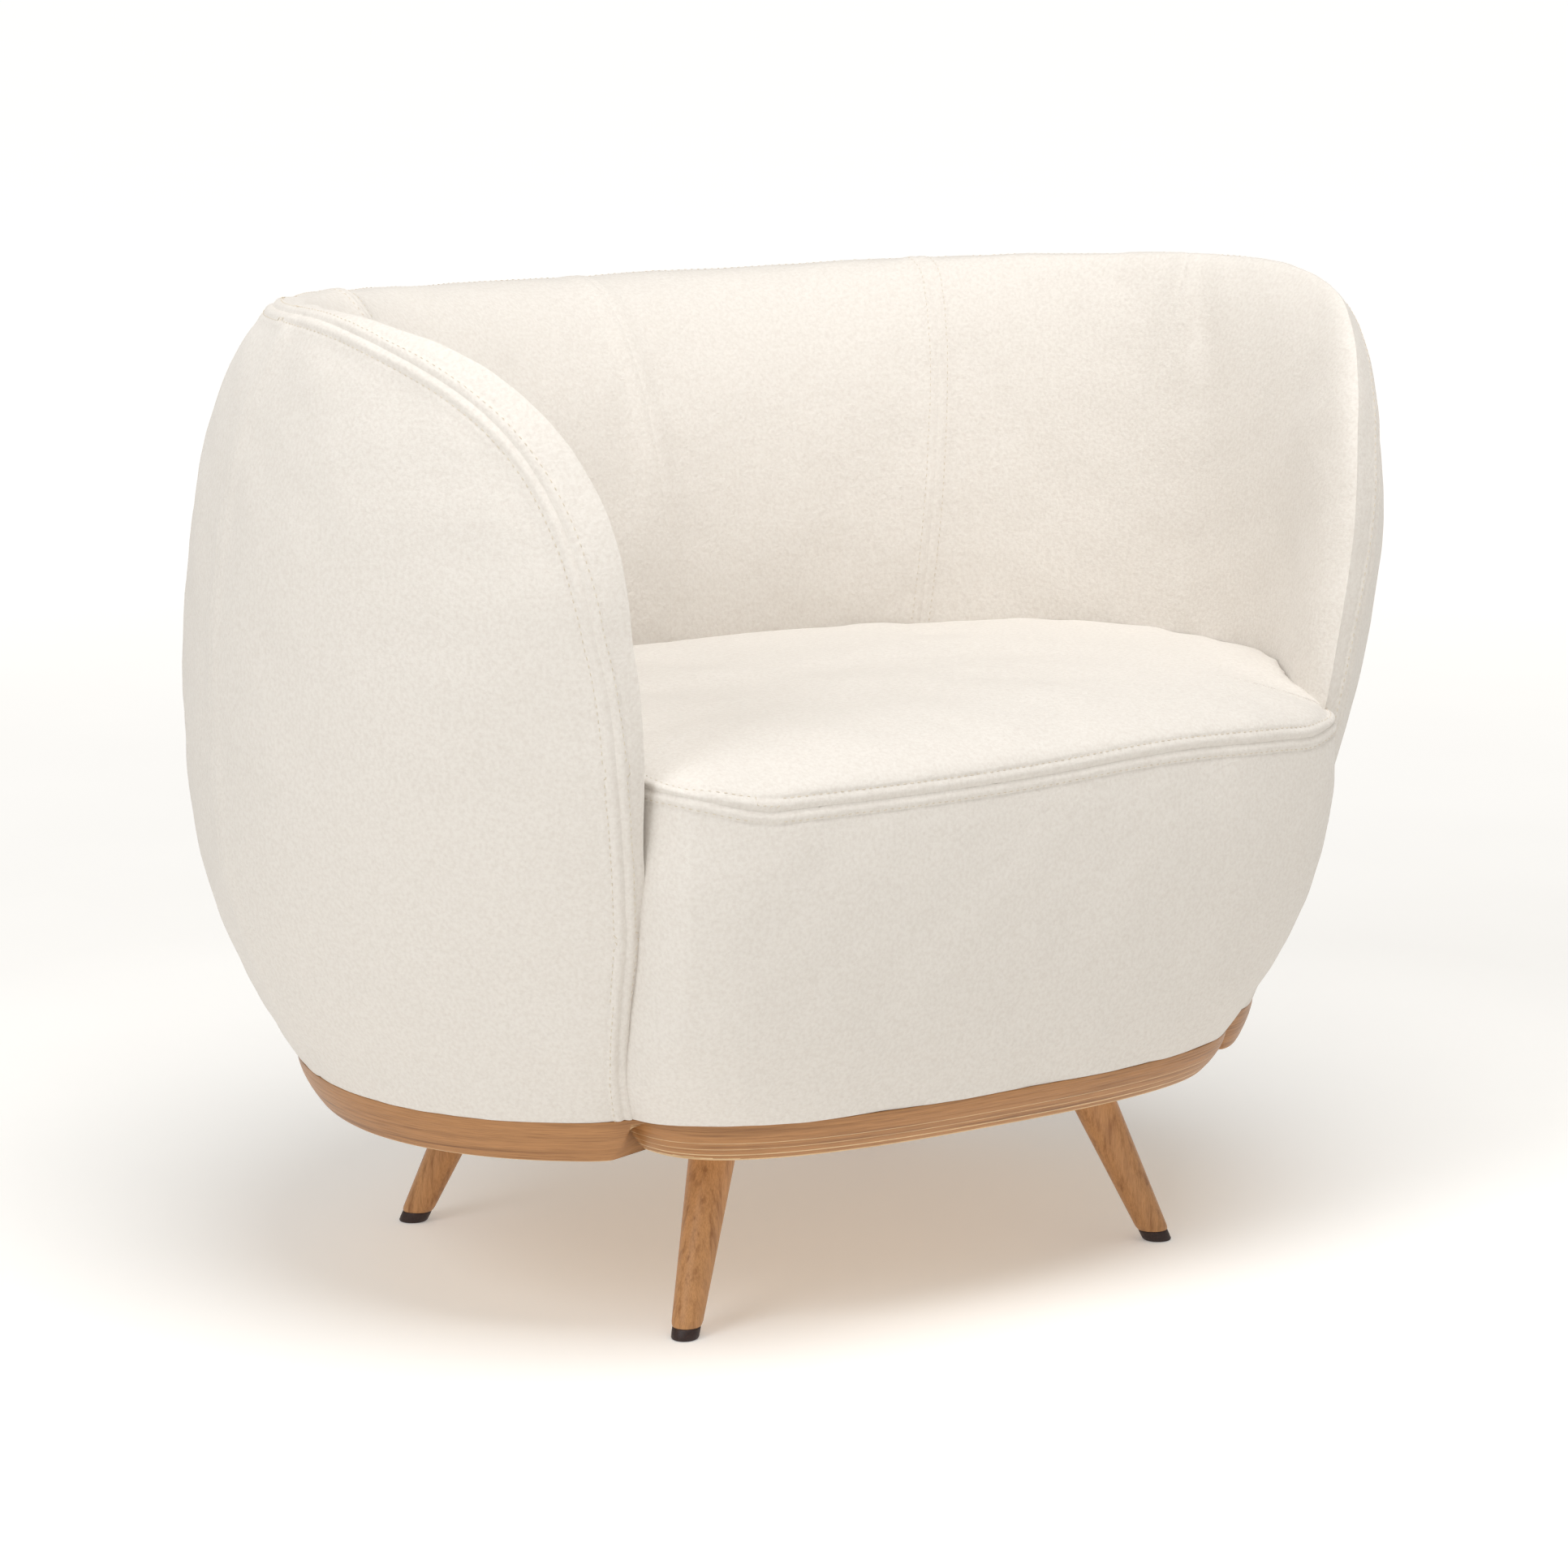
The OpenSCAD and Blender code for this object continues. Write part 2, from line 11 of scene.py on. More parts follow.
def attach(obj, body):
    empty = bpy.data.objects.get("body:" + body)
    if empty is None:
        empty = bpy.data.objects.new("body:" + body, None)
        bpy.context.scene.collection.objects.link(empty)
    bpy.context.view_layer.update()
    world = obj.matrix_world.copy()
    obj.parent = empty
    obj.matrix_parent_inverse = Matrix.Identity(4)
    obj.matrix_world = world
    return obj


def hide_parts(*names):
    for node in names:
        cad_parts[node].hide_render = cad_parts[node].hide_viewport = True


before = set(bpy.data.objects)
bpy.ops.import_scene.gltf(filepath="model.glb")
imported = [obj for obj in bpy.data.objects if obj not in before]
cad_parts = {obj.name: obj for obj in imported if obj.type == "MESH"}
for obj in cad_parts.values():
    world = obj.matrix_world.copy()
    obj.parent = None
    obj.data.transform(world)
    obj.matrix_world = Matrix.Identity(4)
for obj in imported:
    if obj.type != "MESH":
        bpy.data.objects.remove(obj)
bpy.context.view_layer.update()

# ---------------------------------------------------------------- the shell
# The wall follows the same plan curves as the CAD: a middle line, an outer
# face and an inner face, all in millimetres, with angles from straight back.
MM = 0.001
Y_SHIFT = -50.0
SHOULDER, ARM_END = 79.0, 129.3
ARM_SPAN = ARM_END - SHOULDER
BAND_Z, TOP_Z, DIP = 426.0, 705.0, 18.0
PLINTH_LOW, PLINTH_TOP = 135.0, 164.0
SKIN_FOOT = 372.0               # the inner cover starts here, below the seat's top
FABRIC = 3.0                    # thickness of a cover
MIDDLE = (394, 350, 305, -70, 2.0)
FACE = {1: (448, 401, 416, -3, 2.0), -1: (350, 213, 262, -60, 2.3)}
ROLL_BACK, ROLL_ARM = 2.0, 7.5
# How far the arm's front edge leans in and forward, against height
NOSE_Z = [164, 194, 228, 266, 300, 350, 390, 430, 470, 505, 545, 600]
NOSE_IN = [-4, -9.5, -9, -4.5, -0.5, 0.5, 0.5, 1, 0, -2, -1, 0]
NOSE_FORWARD = [1, 4, 6, 7, 7.5, 8, 8, 6.5, 3, 0, 0, 0]
NOSE_START = 121.0


def ease(t):
    t = np.clip(t, 0, 1)
    return t * t * (3 - 2 * t)


def plan_curve(phi, curve):
    half, back, front, mid, power = curve
    s, c = np.sin(np.radians(phi)), np.cos(np.radians(phi))
    g = (np.abs(s) ** power + np.abs(c) ** power) ** (-1 / power)
    return half * s * g, mid + np.where(c >= 0, back, front) * c * g


def crest(phi):
    return TOP_Z - DIP * np.maximum(0, np.cos(np.radians(phi))) ** 2


def wall(phi, z, fullness, side):
    """Point of the wall's face, with fullness 0 on the rim and 1 well below it."""
    f = ease((np.abs(phi) - 80) / (ARM_END - 80))
    start = 415 + 142 * f
    power = 2.46 - 0.91 * f
    t = (np.maximum(0, start - z) / (start - PLINTH_TOP)) ** power
    front = ease(0.5 - np.cos(np.radians(phi)) / 1.2)
    kx = 1 - (0.16 + 0.003 * f) * t
    ky = 1 - (0.225 + 0.095 * front) * t
    mx, my = plan_curve(phi, MIDDLE)
    px, py = plan_curve(phi, FACE[side])
    x = (mx + (px - mx) * fullness) * kx
    y = (my + (py - my) * fullness) * ky + Y_SHIFT
    # the arm's front edge swells beside the seat and draws in under it
    edge = ease((np.abs(phi) - NOSE_START) / (ARM_END - NOSE_START))
    x = x - np.sign(phi) * edge * np.interp(z, NOSE_Z, NOSE_IN)
    y = y - edge * np.interp(z, NOSE_Z, NOSE_FORWARD)
    return np.stack(np.broadcast_arrays(x, y, z), -1)


def roll(psi):
    return ROLL_BACK + (ROLL_ARM - ROLL_BACK) * np.cos(np.radians(psi)) ** 2


def turn(u, v):
    """Angle on the rim, from 0 at the arm's front edge to 90 along the top."""
    psi = np.degrees(np.arctan2(v ** 1.5, np.maximum(u, 1e-12) ** 1.5))
    return np.where(v <= 0, 0.0, np.where(u <= 0, 90.0, psi))


SEAM_TURN = np.polyfit([0, 10, 20, 30, 40, 50, 60, 70, 80, 90],
                       [.40, .458, .486, .475, .446, .41, .375, .325, .26, .20], 6)


def seam_fullness(psi, z):
    """How full the outer face is where the rim's felled seam runs."""
    low = 0.14 + 0.26 * np.clip((z - PLINTH_TOP) / (BAND_Z - PLINTH_TOP), 0, 1)
    return np.where(psi <= 0, low, np.polyval(SEAM_TURN, psi))


def share_at(psi, z):
    """Share q of the way to the rim at which the outer cover ends."""
    return (1 - seam_fullness(psi, z) ** 2) ** (1 / roll(psi))


def shell(phi0, sign, u, row, side, to_seam=False, share=None):
    """Shell point: row is (height below the band) or (share of the rise above it)."""
    low, v = row
    psi = turn(u, v)
    flat = (v <= 0)
    q = np.maximum(u, v) * (share_at(psi, low) if to_seam else 1.0)
    if share is not None:
        q = share
    al = np.where(flat, q, q * np.cos(np.radians(psi)) ** (2 / 3))
    h = np.where(flat, 0, q * np.sin(np.radians(psi)) ** (2 / 3))
    phi = np.where(u > 0, sign * (SHOULDER + ARM_SPAN * al), phi0)
    z = np.where(flat, low, BAND_Z + (crest(phi) - BAND_Z) * h)
    q = np.where((u > 0) | ~flat, q, 0)
    full = np.sqrt(np.maximum(0, 1 - np.minimum(1, q) ** roll(psi)))
    return wall(phi, z, full, side)


# Steps towards the rim: fine beside the seam, coarse over the open faces.
NEAR = [0, .0007, .002, .004, .0065, .009, .0115, .014, .0165, .019, .0215, .024, .0265, .029,
        .032, .036, .042, .05, .06, .075, .09, .11, .135, .16, .19, .22]
RISE = np.array(sorted({round(1 - e, 6) for e in NEAR}
                       | {round(x, 6) for x in np.arange(0.03, 0.77, 0.025)}))


def around(centre, *reach):
    return [centre + s * r for r in reach for s in (-1, 1)] + [centre]


def crowd(lo, hi, pitch, seams, reach=(.3, .6, .9, 1.25, 1.7, 2.2)):
    """Grid lines from lo to hi at a pitch, with extra lines beside each seam."""
    lines = set(np.round(np.linspace(lo, hi, max(2, int((hi - lo) / pitch))), 4))
    for s in seams:
        lines = {x for x in lines if abs(x - s) > max(reach)}
        lines |= {round(x, 4) for x in around(s, *reach)}
    return np.array(sorted(x for x in lines if lo - 1e-6 <= x <= hi + 1e-6))


SIDE_SEAM = 81.5
SEAM_A, SEAM_B = 40.0, 66.0          # inner seams, on the grid's own angle
side_u = (SIDE_SEAM - SHOULDER) / ARM_SPAN
BESIDE = (-.035, -.025, -.017, -.01, -.004, 0, .004, .01, .017, .025, .035, .05)
U_OUT = np.array(sorted(set(RISE) | {round(side_u + d, 5) for d in BESIDE}))
U_OUT = U_OUT[U_OUT > 0.004]
Z_LOW = np.array(list(np.arange(PLINTH_TOP, BAND_Z - 1, 5.0)))
BACK_OUT = crowd(-SHOULDER, SHOULDER, 0.9, [])
BACK_IN = crowd(-SHOULDER, SHOULDER, 1.0, [-SEAM_B, -SEAM_A, 0.0, SEAM_A, SEAM_B])


def warp(c, z):
    """Leans the inner grid lines so that the seams spread towards the top."""
    s = np.clip((z - 420) / 264, 0, 1)
    a, b = 35 + 6 * s, 66 + 10 * s ** 1.2
    m = np.abs(c)
    out = np.where(m <= SEAM_A, m / SEAM_A * a,
                   np.where(m <= SEAM_B, a + (m - SEAM_A) / (SEAM_B - SEAM_A) * (b - a),
                            b + (m - SEAM_B) / (SHOULDER - SEAM_B) * (SHOULDER - b)))
    return np.sign(c) * out


class Skin:
    """A growing mesh with a piece label on every face."""

    def __init__(self):
        self.verts, self.faces, self.labels, self.count = [], [], [], 0

    def grid(self, pts, label, flip=False):
        rows, cols = pts.shape[:2]
        base = self.count
        self.verts.append(pts.reshape(-1, 3))
        self.count += rows * cols
        for r in range(rows - 1):
            for c in range(cols - 1):
                a = base + r * cols + c
                f = (a, a + 1, a + cols + 1, a + cols)
                name = label(r, c) if callable(label) else label
                if name is None:
                    continue
                self.faces.append(f[::-1] if flip else f)
                self.labels.append(name)

    def mesh(self, name, merge=0.02):
        names = sorted(set(self.labels))
        v = np.concatenate(self.verts) * MM
        me = bpy.data.meshes.new(name)
        me.from_pydata(v.tolist(), [], self.faces)
        bm = bmesh.new()
        bm.from_mesh(me)
        layer = bm.faces.layers.int.new("piece")
        bm.faces.ensure_lookup_table()
        for f, n in zip(bm.faces, self.labels):
            f[layer] = names.index(n)
        bmesh.ops.remove_doubles(bm, verts=bm.verts, dist=merge * MM)
        bmesh.ops.dissolve_degenerate(bm, edges=bm.edges, dist=merge * MM)
        loose = [w for w in bm.verts if not w.link_faces]
        bmesh.ops.delete(bm, geom=loose, context="VERTS")
        bmesh.ops.recalc_face_normals(bm, faces=bm.faces)
        bm.to_mesh(me)
        bm.free()
        return me, names


ROWS = [(z, 0.0) for z in Z_LOW] + [(BAND_Z, 0.0)] + [(BAND_Z, v) for v in RISE]


def row_arrays(n):
    low = np.array([r[0] for r in ROWS])[:, None] * np.ones((1, n))
    v = np.array([r[1] for r in ROWS])[:, None] * np.ones((1, n))
    return low, v


def columns(back):
    """Grid columns round the shell: (angle, side of the arm or 0, share of the arm)."""
    return [(-SHOULDER, -1, u) for u in U_OUT[::-1]] + [(p, 0, 0.0) for p in back] + \
           [(SHOULDER, 1, u) for u in U_OUT]


def inner_name(a, b, right):
    """Label of the inner cover between two columns."""
    m = abs(a[0] + b[0]) / 2
    if a[1] or b[1] or m >= SEAM_B:
        part = "inner_arm_"
    else:
        part = "inner_back_" if m < SEAM_A else "inner_side_"
    return part + ("right" if right else "left")


def outer_grid():
    cols = columns(BACK_OUT)
    phi0 = np.array([c[0] for c in cols])[None, :]
    sign = np.array([c[1] for c in cols])[None, :]
    u = np.array([c[2] for c in cols])[None, :] * np.ones((len(ROWS), 1))
    row = row_arrays(len(cols))
    pts = shell(phi0, sign, u, row, 1, to_seam=True)

    def label(r, c):
        m = (cols[c][1] * cols[c][2] + cols[c + 1][1] * cols[c + 1][2]) / 2
        return "outer_left" if m < -side_u else "outer_right" if m > side_u else "outer_back"
    return pts, label


def inner_grid():
    cols = columns(BACK_IN)
    phi0 = np.array([c[0] for c in cols])[None, :] * np.ones((len(ROWS), 1))
    sign = np.array([c[1] for c in cols])[None, :]
    u = np.array([c[2] for c in cols])[None, :] * np.ones((len(ROWS), 1))
    low, v = row_arrays(len(cols))
    zz = np.where(v > 0, BAND_Z + (crest(phi0) - BAND_Z) * v, low)
    phi0 = np.where(u > 0, phi0, warp(phi0, zz))
    pts = shell(phi0, sign, u, (low, v), -1)

    def label(r, c):
        a, b = cols[c], cols[c + 1]
        if ROWS[r + 1][0] < SKIN_FOOT and max(a[2], b[2]) < 0.72:
            return None
        return inner_name(a, b, a[0] + b[0] >= 0)
    return pts, label, cols


def rim_band(cols):
    """Cover that wraps over the rim and down the outside as far as the seam."""
    up = ROWS[:-1]
    edge = [(-SHOULDER, -1, 1.0, z, v) for z, v in up]       # (phi0, sign, u, z, v)
    edge += [(c[0], c[1], c[2], BAND_Z, 1.0) for c in cols]
    edge += [(SHOULDER, 1, 1.0, z, v) for z, v in up[::-1]]
    e = np.array(edge, float)
    phi0, sign, u, low, v = e.T
    phi0 = np.where(u > 0, phi0, warp(phi0, crest(phi0)))
    psi = np.where(u <= 0, 90.0, turn(u, v))
    s_end = seam_fullness(psi, low)
    steps = np.concatenate([np.linspace(0, 0.6, 7), np.linspace(0.66, 1, 8)])
    rows = []
    for t in steps:
        q = (1 - (t * s_end) ** 2) ** (1 / roll(psi))
        rows.append(shell(phi0, sign, u, (low, v), 1, share=q))
    pts = np.array(rows)

    def label(r, c):
        a, b = edge[c], edge[c + 1]
        return inner_name(a, b, a[0] + b[0] > 0)
    return pts, label, pts[-1]


# ------------------------------------------------------------------ the seat
PANEL_FULL, PANEL_LOW = (302, 79, -219, 3.5), (252, 106, -160, 2.64)
PANEL_FULL_Z, PANEL_POWER = 355.0, 1.9
# The panel's left end is cut back for the crease, and bulges under the nose
CREASE_Z, CREASE_CUT = [164, 194, 228, 266, 308, 364], [0, 1.5, 7, 12, 15.5, 17]
BULGE_Z, BULGE = [164, 194, 228, 266], [8, 8, 5, 0]
RIGHT_CUT, CREASE_WIDTH, CREASE_DEPTH = 2.0, 11.5, 32
SEAT_MID = np.array([0.0, Y_SHIFT - 60])
SEAT_CROWN = 426.0      # the simulation adds the rest
SEAT_REACH = 121.5
SEAT_UNDER = 384.5


def panel_shape(z):
    t = np.clip((PANEL_FULL_Z - z) / (PANEL_FULL_Z - PLINTH_TOP), 0, 1) ** PANEL_POWER
    return [a + (b - a) * t for a, b in zip(PANEL_FULL, PANEL_LOW)]


def panel(tau, z):
    """Front face of the seat, tau from -90 at its left end to 90 at its right."""
    half, deep, mid, n = panel_shape(z)
    x = half * np.sin(np.radians(tau))
    y = mid - deep * np.maximum(0, 1 - np.abs(x / half) ** n) ** (1 / n) + Y_SHIFT
    x, y, z = np.broadcast_arrays(x, y, z)
    bulge = np.interp(z, BULGE_Z, BULGE)
    x = np.where(x < 0, x * (1 + bulge / half), x)
    half = half + np.where(x < 0, bulge, 0)
    # the ends roll back into the crease beside each arm
    for sx, cut in ((-1, np.interp(z, CREASE_Z, CREASE_CUT)), (1, RIGHT_CUT)):
        end = half - cut
        t = np.clip((sx * x - (end - CREASE_WIDTH)) / CREASE_WIDTH, 0, 1)
        y = y + CREASE_DEPTH * (1 - np.sqrt(1 - t ** 2)) * np.minimum(1, cut / 8)
        x = np.where(sx * x > end, sx * end, x)
    return np.stack(np.broadcast_arrays(x, y, z), -1)


def seat_seam_z(x):
    return (387.3 + 6 * np.exp(-((x - 112) / 100) ** 2) + 16 * ease((-x - 215) / 85)
            - 1.5 * np.exp(-((x - 245) / 20) ** 2) + 4 * ease((x - 255) / 45))


SEAM_STEPS = np.array([0, 1, 2, 3.2, 4.3, 5.6, 6.8, 7.8, 8.6, 9.4, 10.4, 11.8, 13.5, 16])
FRONT_TAU = np.degrees(np.arcsin(np.clip(np.linspace(-1, 1, 131), -1, 1)))
FRONT_TAU = np.unique(np.concatenate([FRONT_TAU, np.linspace(-90, 90, 91)]))


def front_grid():
    top = seat_seam_z(PANEL_FULL[0] * np.sin(np.radians(FRONT_TAU)))
    rise = top - SEAM_STEPS[-1] - PLINTH_TOP
    rows = [PLINTH_TOP + rise * t for t in np.linspace(0, 1, 42)[:-1]]
    rows += [top - s for s in SEAM_STEPS[::-1]]
    return np.array([panel(FRONT_TAU, z) for z in rows])


def dome(s, power):
    return np.sin(np.pi / 2 * np.clip(s / 190, 0, 1) ** power)


def top_grid():
    """Rows from the seam in over the rounded edge to the middle of the seat."""
    front_seam = seat_seam_z(PANEL_FULL[0] * np.sin(np.radians(FRONT_TAU)))[::-1]
    front = panel(FRONT_TAU[::-1], np.full(len(FRONT_TAU), 388.0))[:, :2]
    phi = np.linspace(-SEAT_REACH, SEAT_REACH, 181)
    al = np.clip((np.abs(phi) - SHOULDER) / ARM_SPAN, 0, 1)
    full = np.sqrt(1 - al ** ROLL_ARM)
    rear = wall(phi, np.full(len(phi), 410.0), full, -1)[:, :2]
    rear = rear + (rear - SEAT_MID) / np.linalg.norm(rear - SEAT_MID, axis=1)[:, None]
    ends = np.interp(np.abs(phi), [95, SEAT_REACH], [0, 1])
    rear_seam = 389.0 + ends * 8
    outline = np.concatenate([rear, front])
    seam_all = np.concatenate([rear_seam, front_seam])
    # share of the rise reached at the edge: low at the front, high at the back
    back = np.cos(np.radians(phi))
    e_rear = np.interp(back, [-0.52, -0.36, 0.0, 0.7, 1], [0.66, 0.78, 0.80, 0.82, 0.80])
    side = np.abs(front[:, 0])
    e_front = 0.20 - 0.12 * ease((side - 180) / 70) + 0.54 * ease((front[:, 1] + 309) / 48)
    e_all = np.concatenate([e_rear, e_front])
    e_all = np.convolve(np.concatenate([e_all[-4:], e_all, e_all[:4]]), np.ones(9) / 9, "valid")
    rise = SEAT_CROWN - seam_all
    s = 300 * np.linspace(0, 1, 500) ** 2.4
    cols = []
    for p, z0, e, up in zip(outline, seam_all, e_all, rise):
        reach = np.linalg.norm(p - SEAT_MID)
        z = z0 + up * (e + (1 - e) * dome(s, 0.46)) + 2.0 * ease((s - 120) / 180)
        line = np.concatenate([[[0, z0]], np.column_stack([s / 300, z])])
        pace = np.hypot(np.diff(line[:, 0]) * reach, np.diff(line[:, 1]))
        run = np.concatenate([[0], np.cumsum(pace)])
        far = run[-1] * 0.985 - SEAM_STEPS[-1]
        at = np.concatenate([SEAM_STEPS, SEAM_STEPS[-1] + far * np.linspace(0, 1, 40)[1:] ** 1.25])
        t, z = np.interp(at, run, line[:, 0]), np.interp(at, run, line[:, 1])
        cols.append(np.column_stack([SEAT_MID + np.outer(1 - t, p - SEAT_MID), z]))
    top = np.array(cols).transpose(1, 0, 2)
    # the front corners are pulled down, so they round off
    for corner in (298, -298):
        off = np.hypot(top[..., 0] - corner, top[..., 1] + 310)
        above = top[..., 2] - top[0, :, 2]
        top[..., 2] -= np.minimum(7.5 * np.exp(-(off / 34) ** 2), 0.5 * above)
    # beside the left arm the top swells over the crease that the panel leaves
    swell = 14 * ease((-top[..., 0] - 255) / 28) * ease((top[..., 2] - top[0, :, 2] - 9) / 11)
    top[:, len(rear):, 0] -= swell[:, len(rear):]
    return top


def close_ring(pts):
    return np.concatenate([pts, pts[:, :1]], axis=1)


# -------------------------------------------------------------- mesh helpers
def normals_of(me):
    me.update()
    n = np.zeros(len(me.vertices) * 3)
    me.vertices.foreach_get("normal", n)
    return n.reshape(-1, 3)


def coords_of(me):
    c = np.zeros(len(me.vertices) * 3)
    me.vertices.foreach_get("co", c)
    return c.reshape(-1, 3)


def put_coords(me, c):
    me.vertices.foreach_set("co", np.ascontiguousarray(c).ravel())
    me.update()


def resample(line, pitch):
    line = np.asarray(line, float)
    d = np.concatenate([[0], np.cumsum(np.linalg.norm(np.diff(line, axis=0), axis=1))])
    keep = np.concatenate([[True], np.diff(d) > 1e-9])
    n = max(2, int(d[-1] / pitch) + 1)
    t = np.linspace(0, d[-1], n)
    return np.column_stack([np.interp(t, d[keep], line[keep, i]) for i in range(3)]), d[-1]


def tree_of(points):
    tree = KDTree(len(points))
    for i, p in enumerate(points):
        tree.insert(p, i)
    tree.balance()
    return tree


def surface_of(me):
    return BVHTree.FromPolygons([tuple(v.co) for v in me.vertices],
                                [tuple(p.vertices) for p in me.polygons])


def distance_to(points, line, reach):
    """Distance in millimetres from each point to a line, and the place along it."""
    fine, _ = resample(line, 1.0)
    tree = tree_of(fine)
    out = np.full(len(points), 1e9)
    along = np.zeros(len(points))
    lo, hi = fine.min(0) - reach, fine.max(0) + reach
    near = np.where(np.all((points > lo) & (points < hi), axis=1))[0]
    for i in near:
        p = points[i]
        _, j, _ = tree.find(p)
        best = 1e9
        for a in (j - 1, j):
            if 0 <= a < len(fine) - 1:
                d = fine[a + 1] - fine[a]
                t = float(np.clip(np.dot(p - fine[a], d) / np.dot(d, d), 0, 1))
                dist = float(np.linalg.norm(p - fine[a] - d * t))
                if dist < best:
                    best = dist
                    along[i] = a + t
        out[i] = best
    return out, along


def felled(x, along=0.0):
    """Felled seam: a joint with a stitched row on each side of it."""
    pucker = 0.75 + 0.25 * np.cos(2 * np.pi * along / 5.5)
    return (-0.95 * np.exp(-(x / 1.5) ** 2) + 0.75 * np.exp(-((x - 4.3) / 2.3) ** 2)
            - 1.0 * pucker * np.exp(-((x - 8.6) / 1.5) ** 2) - 0.2 * np.exp(-((x - 13) / 4.0) ** 2))


def felled_arm(x, along=0.0):
    return 0.8 * felled(x, along)


def topstitched(x, along=0.0):
    return (-0.4 * np.exp(-(x / 1.8) ** 2) + 0.2 * np.exp(-((x - 4) / 2.2) ** 2)
            - 0.25 * np.exp(-((x - 7) / 1.6) ** 2))


def plain(x, along=0.0):
    return -0.35 * np.exp(-(x / 1.9) ** 2) - 0.2 * np.exp(-(x / 6) ** 2)


def lump(p, seed):
    """Small slow unevenness of stuffed fabric, in millimetres."""
    rng = np.random.default_rng(seed)
    out = np.zeros(len(p))
    for scale, amp in ((95, .55), (48, .3), (22, .13)):
        for _ in range(9):
            k = rng.normal(size=3)
            k *= 2 * np.pi / scale / np.linalg.norm(k)
            out += amp / 3 * np.sin(p @ k + rng.uniform(0, 2 * np.pi))
    return out


def shared_normals(meshes):
    """Normals of meshes that meet along an edge, averaged where they touch."""
    co = [coords_of(m) for m in meshes]
    n = [normals_of(m) for m in meshes]
    tree = tree_of(co[1])
    for i, p in enumerate(co[0]):
        _, j, d = tree.find(p)
        if d < 0.05 * MM:
            both = n[0][i] + n[1][j]
            n[0][i] = n[1][j] = both / np.linalg.norm(both)
    return n


def relief(me, seams, seed, n=None):
    co = coords_of(me) / MM
    n = normals_of(me) if n is None else n
    lift = lump(co, seed)
    for line, shape, reach in seams:
        d, along = distance_to(co, line, reach)
        ok = d < reach
        lift[ok] += shape(d[ok], along[ok])
    put_coords(me, (co + n * lift[:, None]) * MM)


def link(me, name):
    o = bpy.data.objects.new(name, me)
    bpy.context.scene.collection.objects.link(o)
    return o


def shade_smooth(me):
    me.polygons.foreach_set("use_smooth", [True] * len(me.polygons))
    me.update()


def thicken(me, name, thickness):
    """Closed piece: the face, an inner face and the walls between their edges."""
    src = link(me, name + "_src")
    mod = src.modifiers.new("Solidify", "SOLIDIFY")
    mod.thickness, mod.offset, mod.use_rim = thickness, -1, True
    dg = bpy.context.evaluated_depsgraph_get()
    out = bpy.data.meshes.new_from_object(src.evaluated_get(dg))
    bpy.data.objects.remove(src)
    out.name = name
    shade_smooth(out)
    out.set_sharp_from_angle(angle=math.radians(48))
    return out


def split_pieces(me, names, thickness):
    """One closed piece for every label of a skin."""
    out = {}
    for i, name in enumerate(names):
        bm = bmesh.new()
        bm.from_mesh(me)
        layer = bm.faces.layers.int["piece"]
        bmesh.ops.delete(bm, geom=[f for f in bm.faces if f[layer] != i], context="FACES")
        part = bpy.data.meshes.new(name)
        bm.to_mesh(part)
        bm.free()
        out[name] = thicken(part, name, thickness)
    return out


def boundary_points(me):
    bm = bmesh.new()
    bm.from_mesh(me)
    pts = [tuple(v.co) for v in bm.verts if v.is_boundary]
    bm.free()
    return pts


PUFF_PITCH = 11.0               # the simulated copy's points are merged at this
PUFF_FRAMES = 20


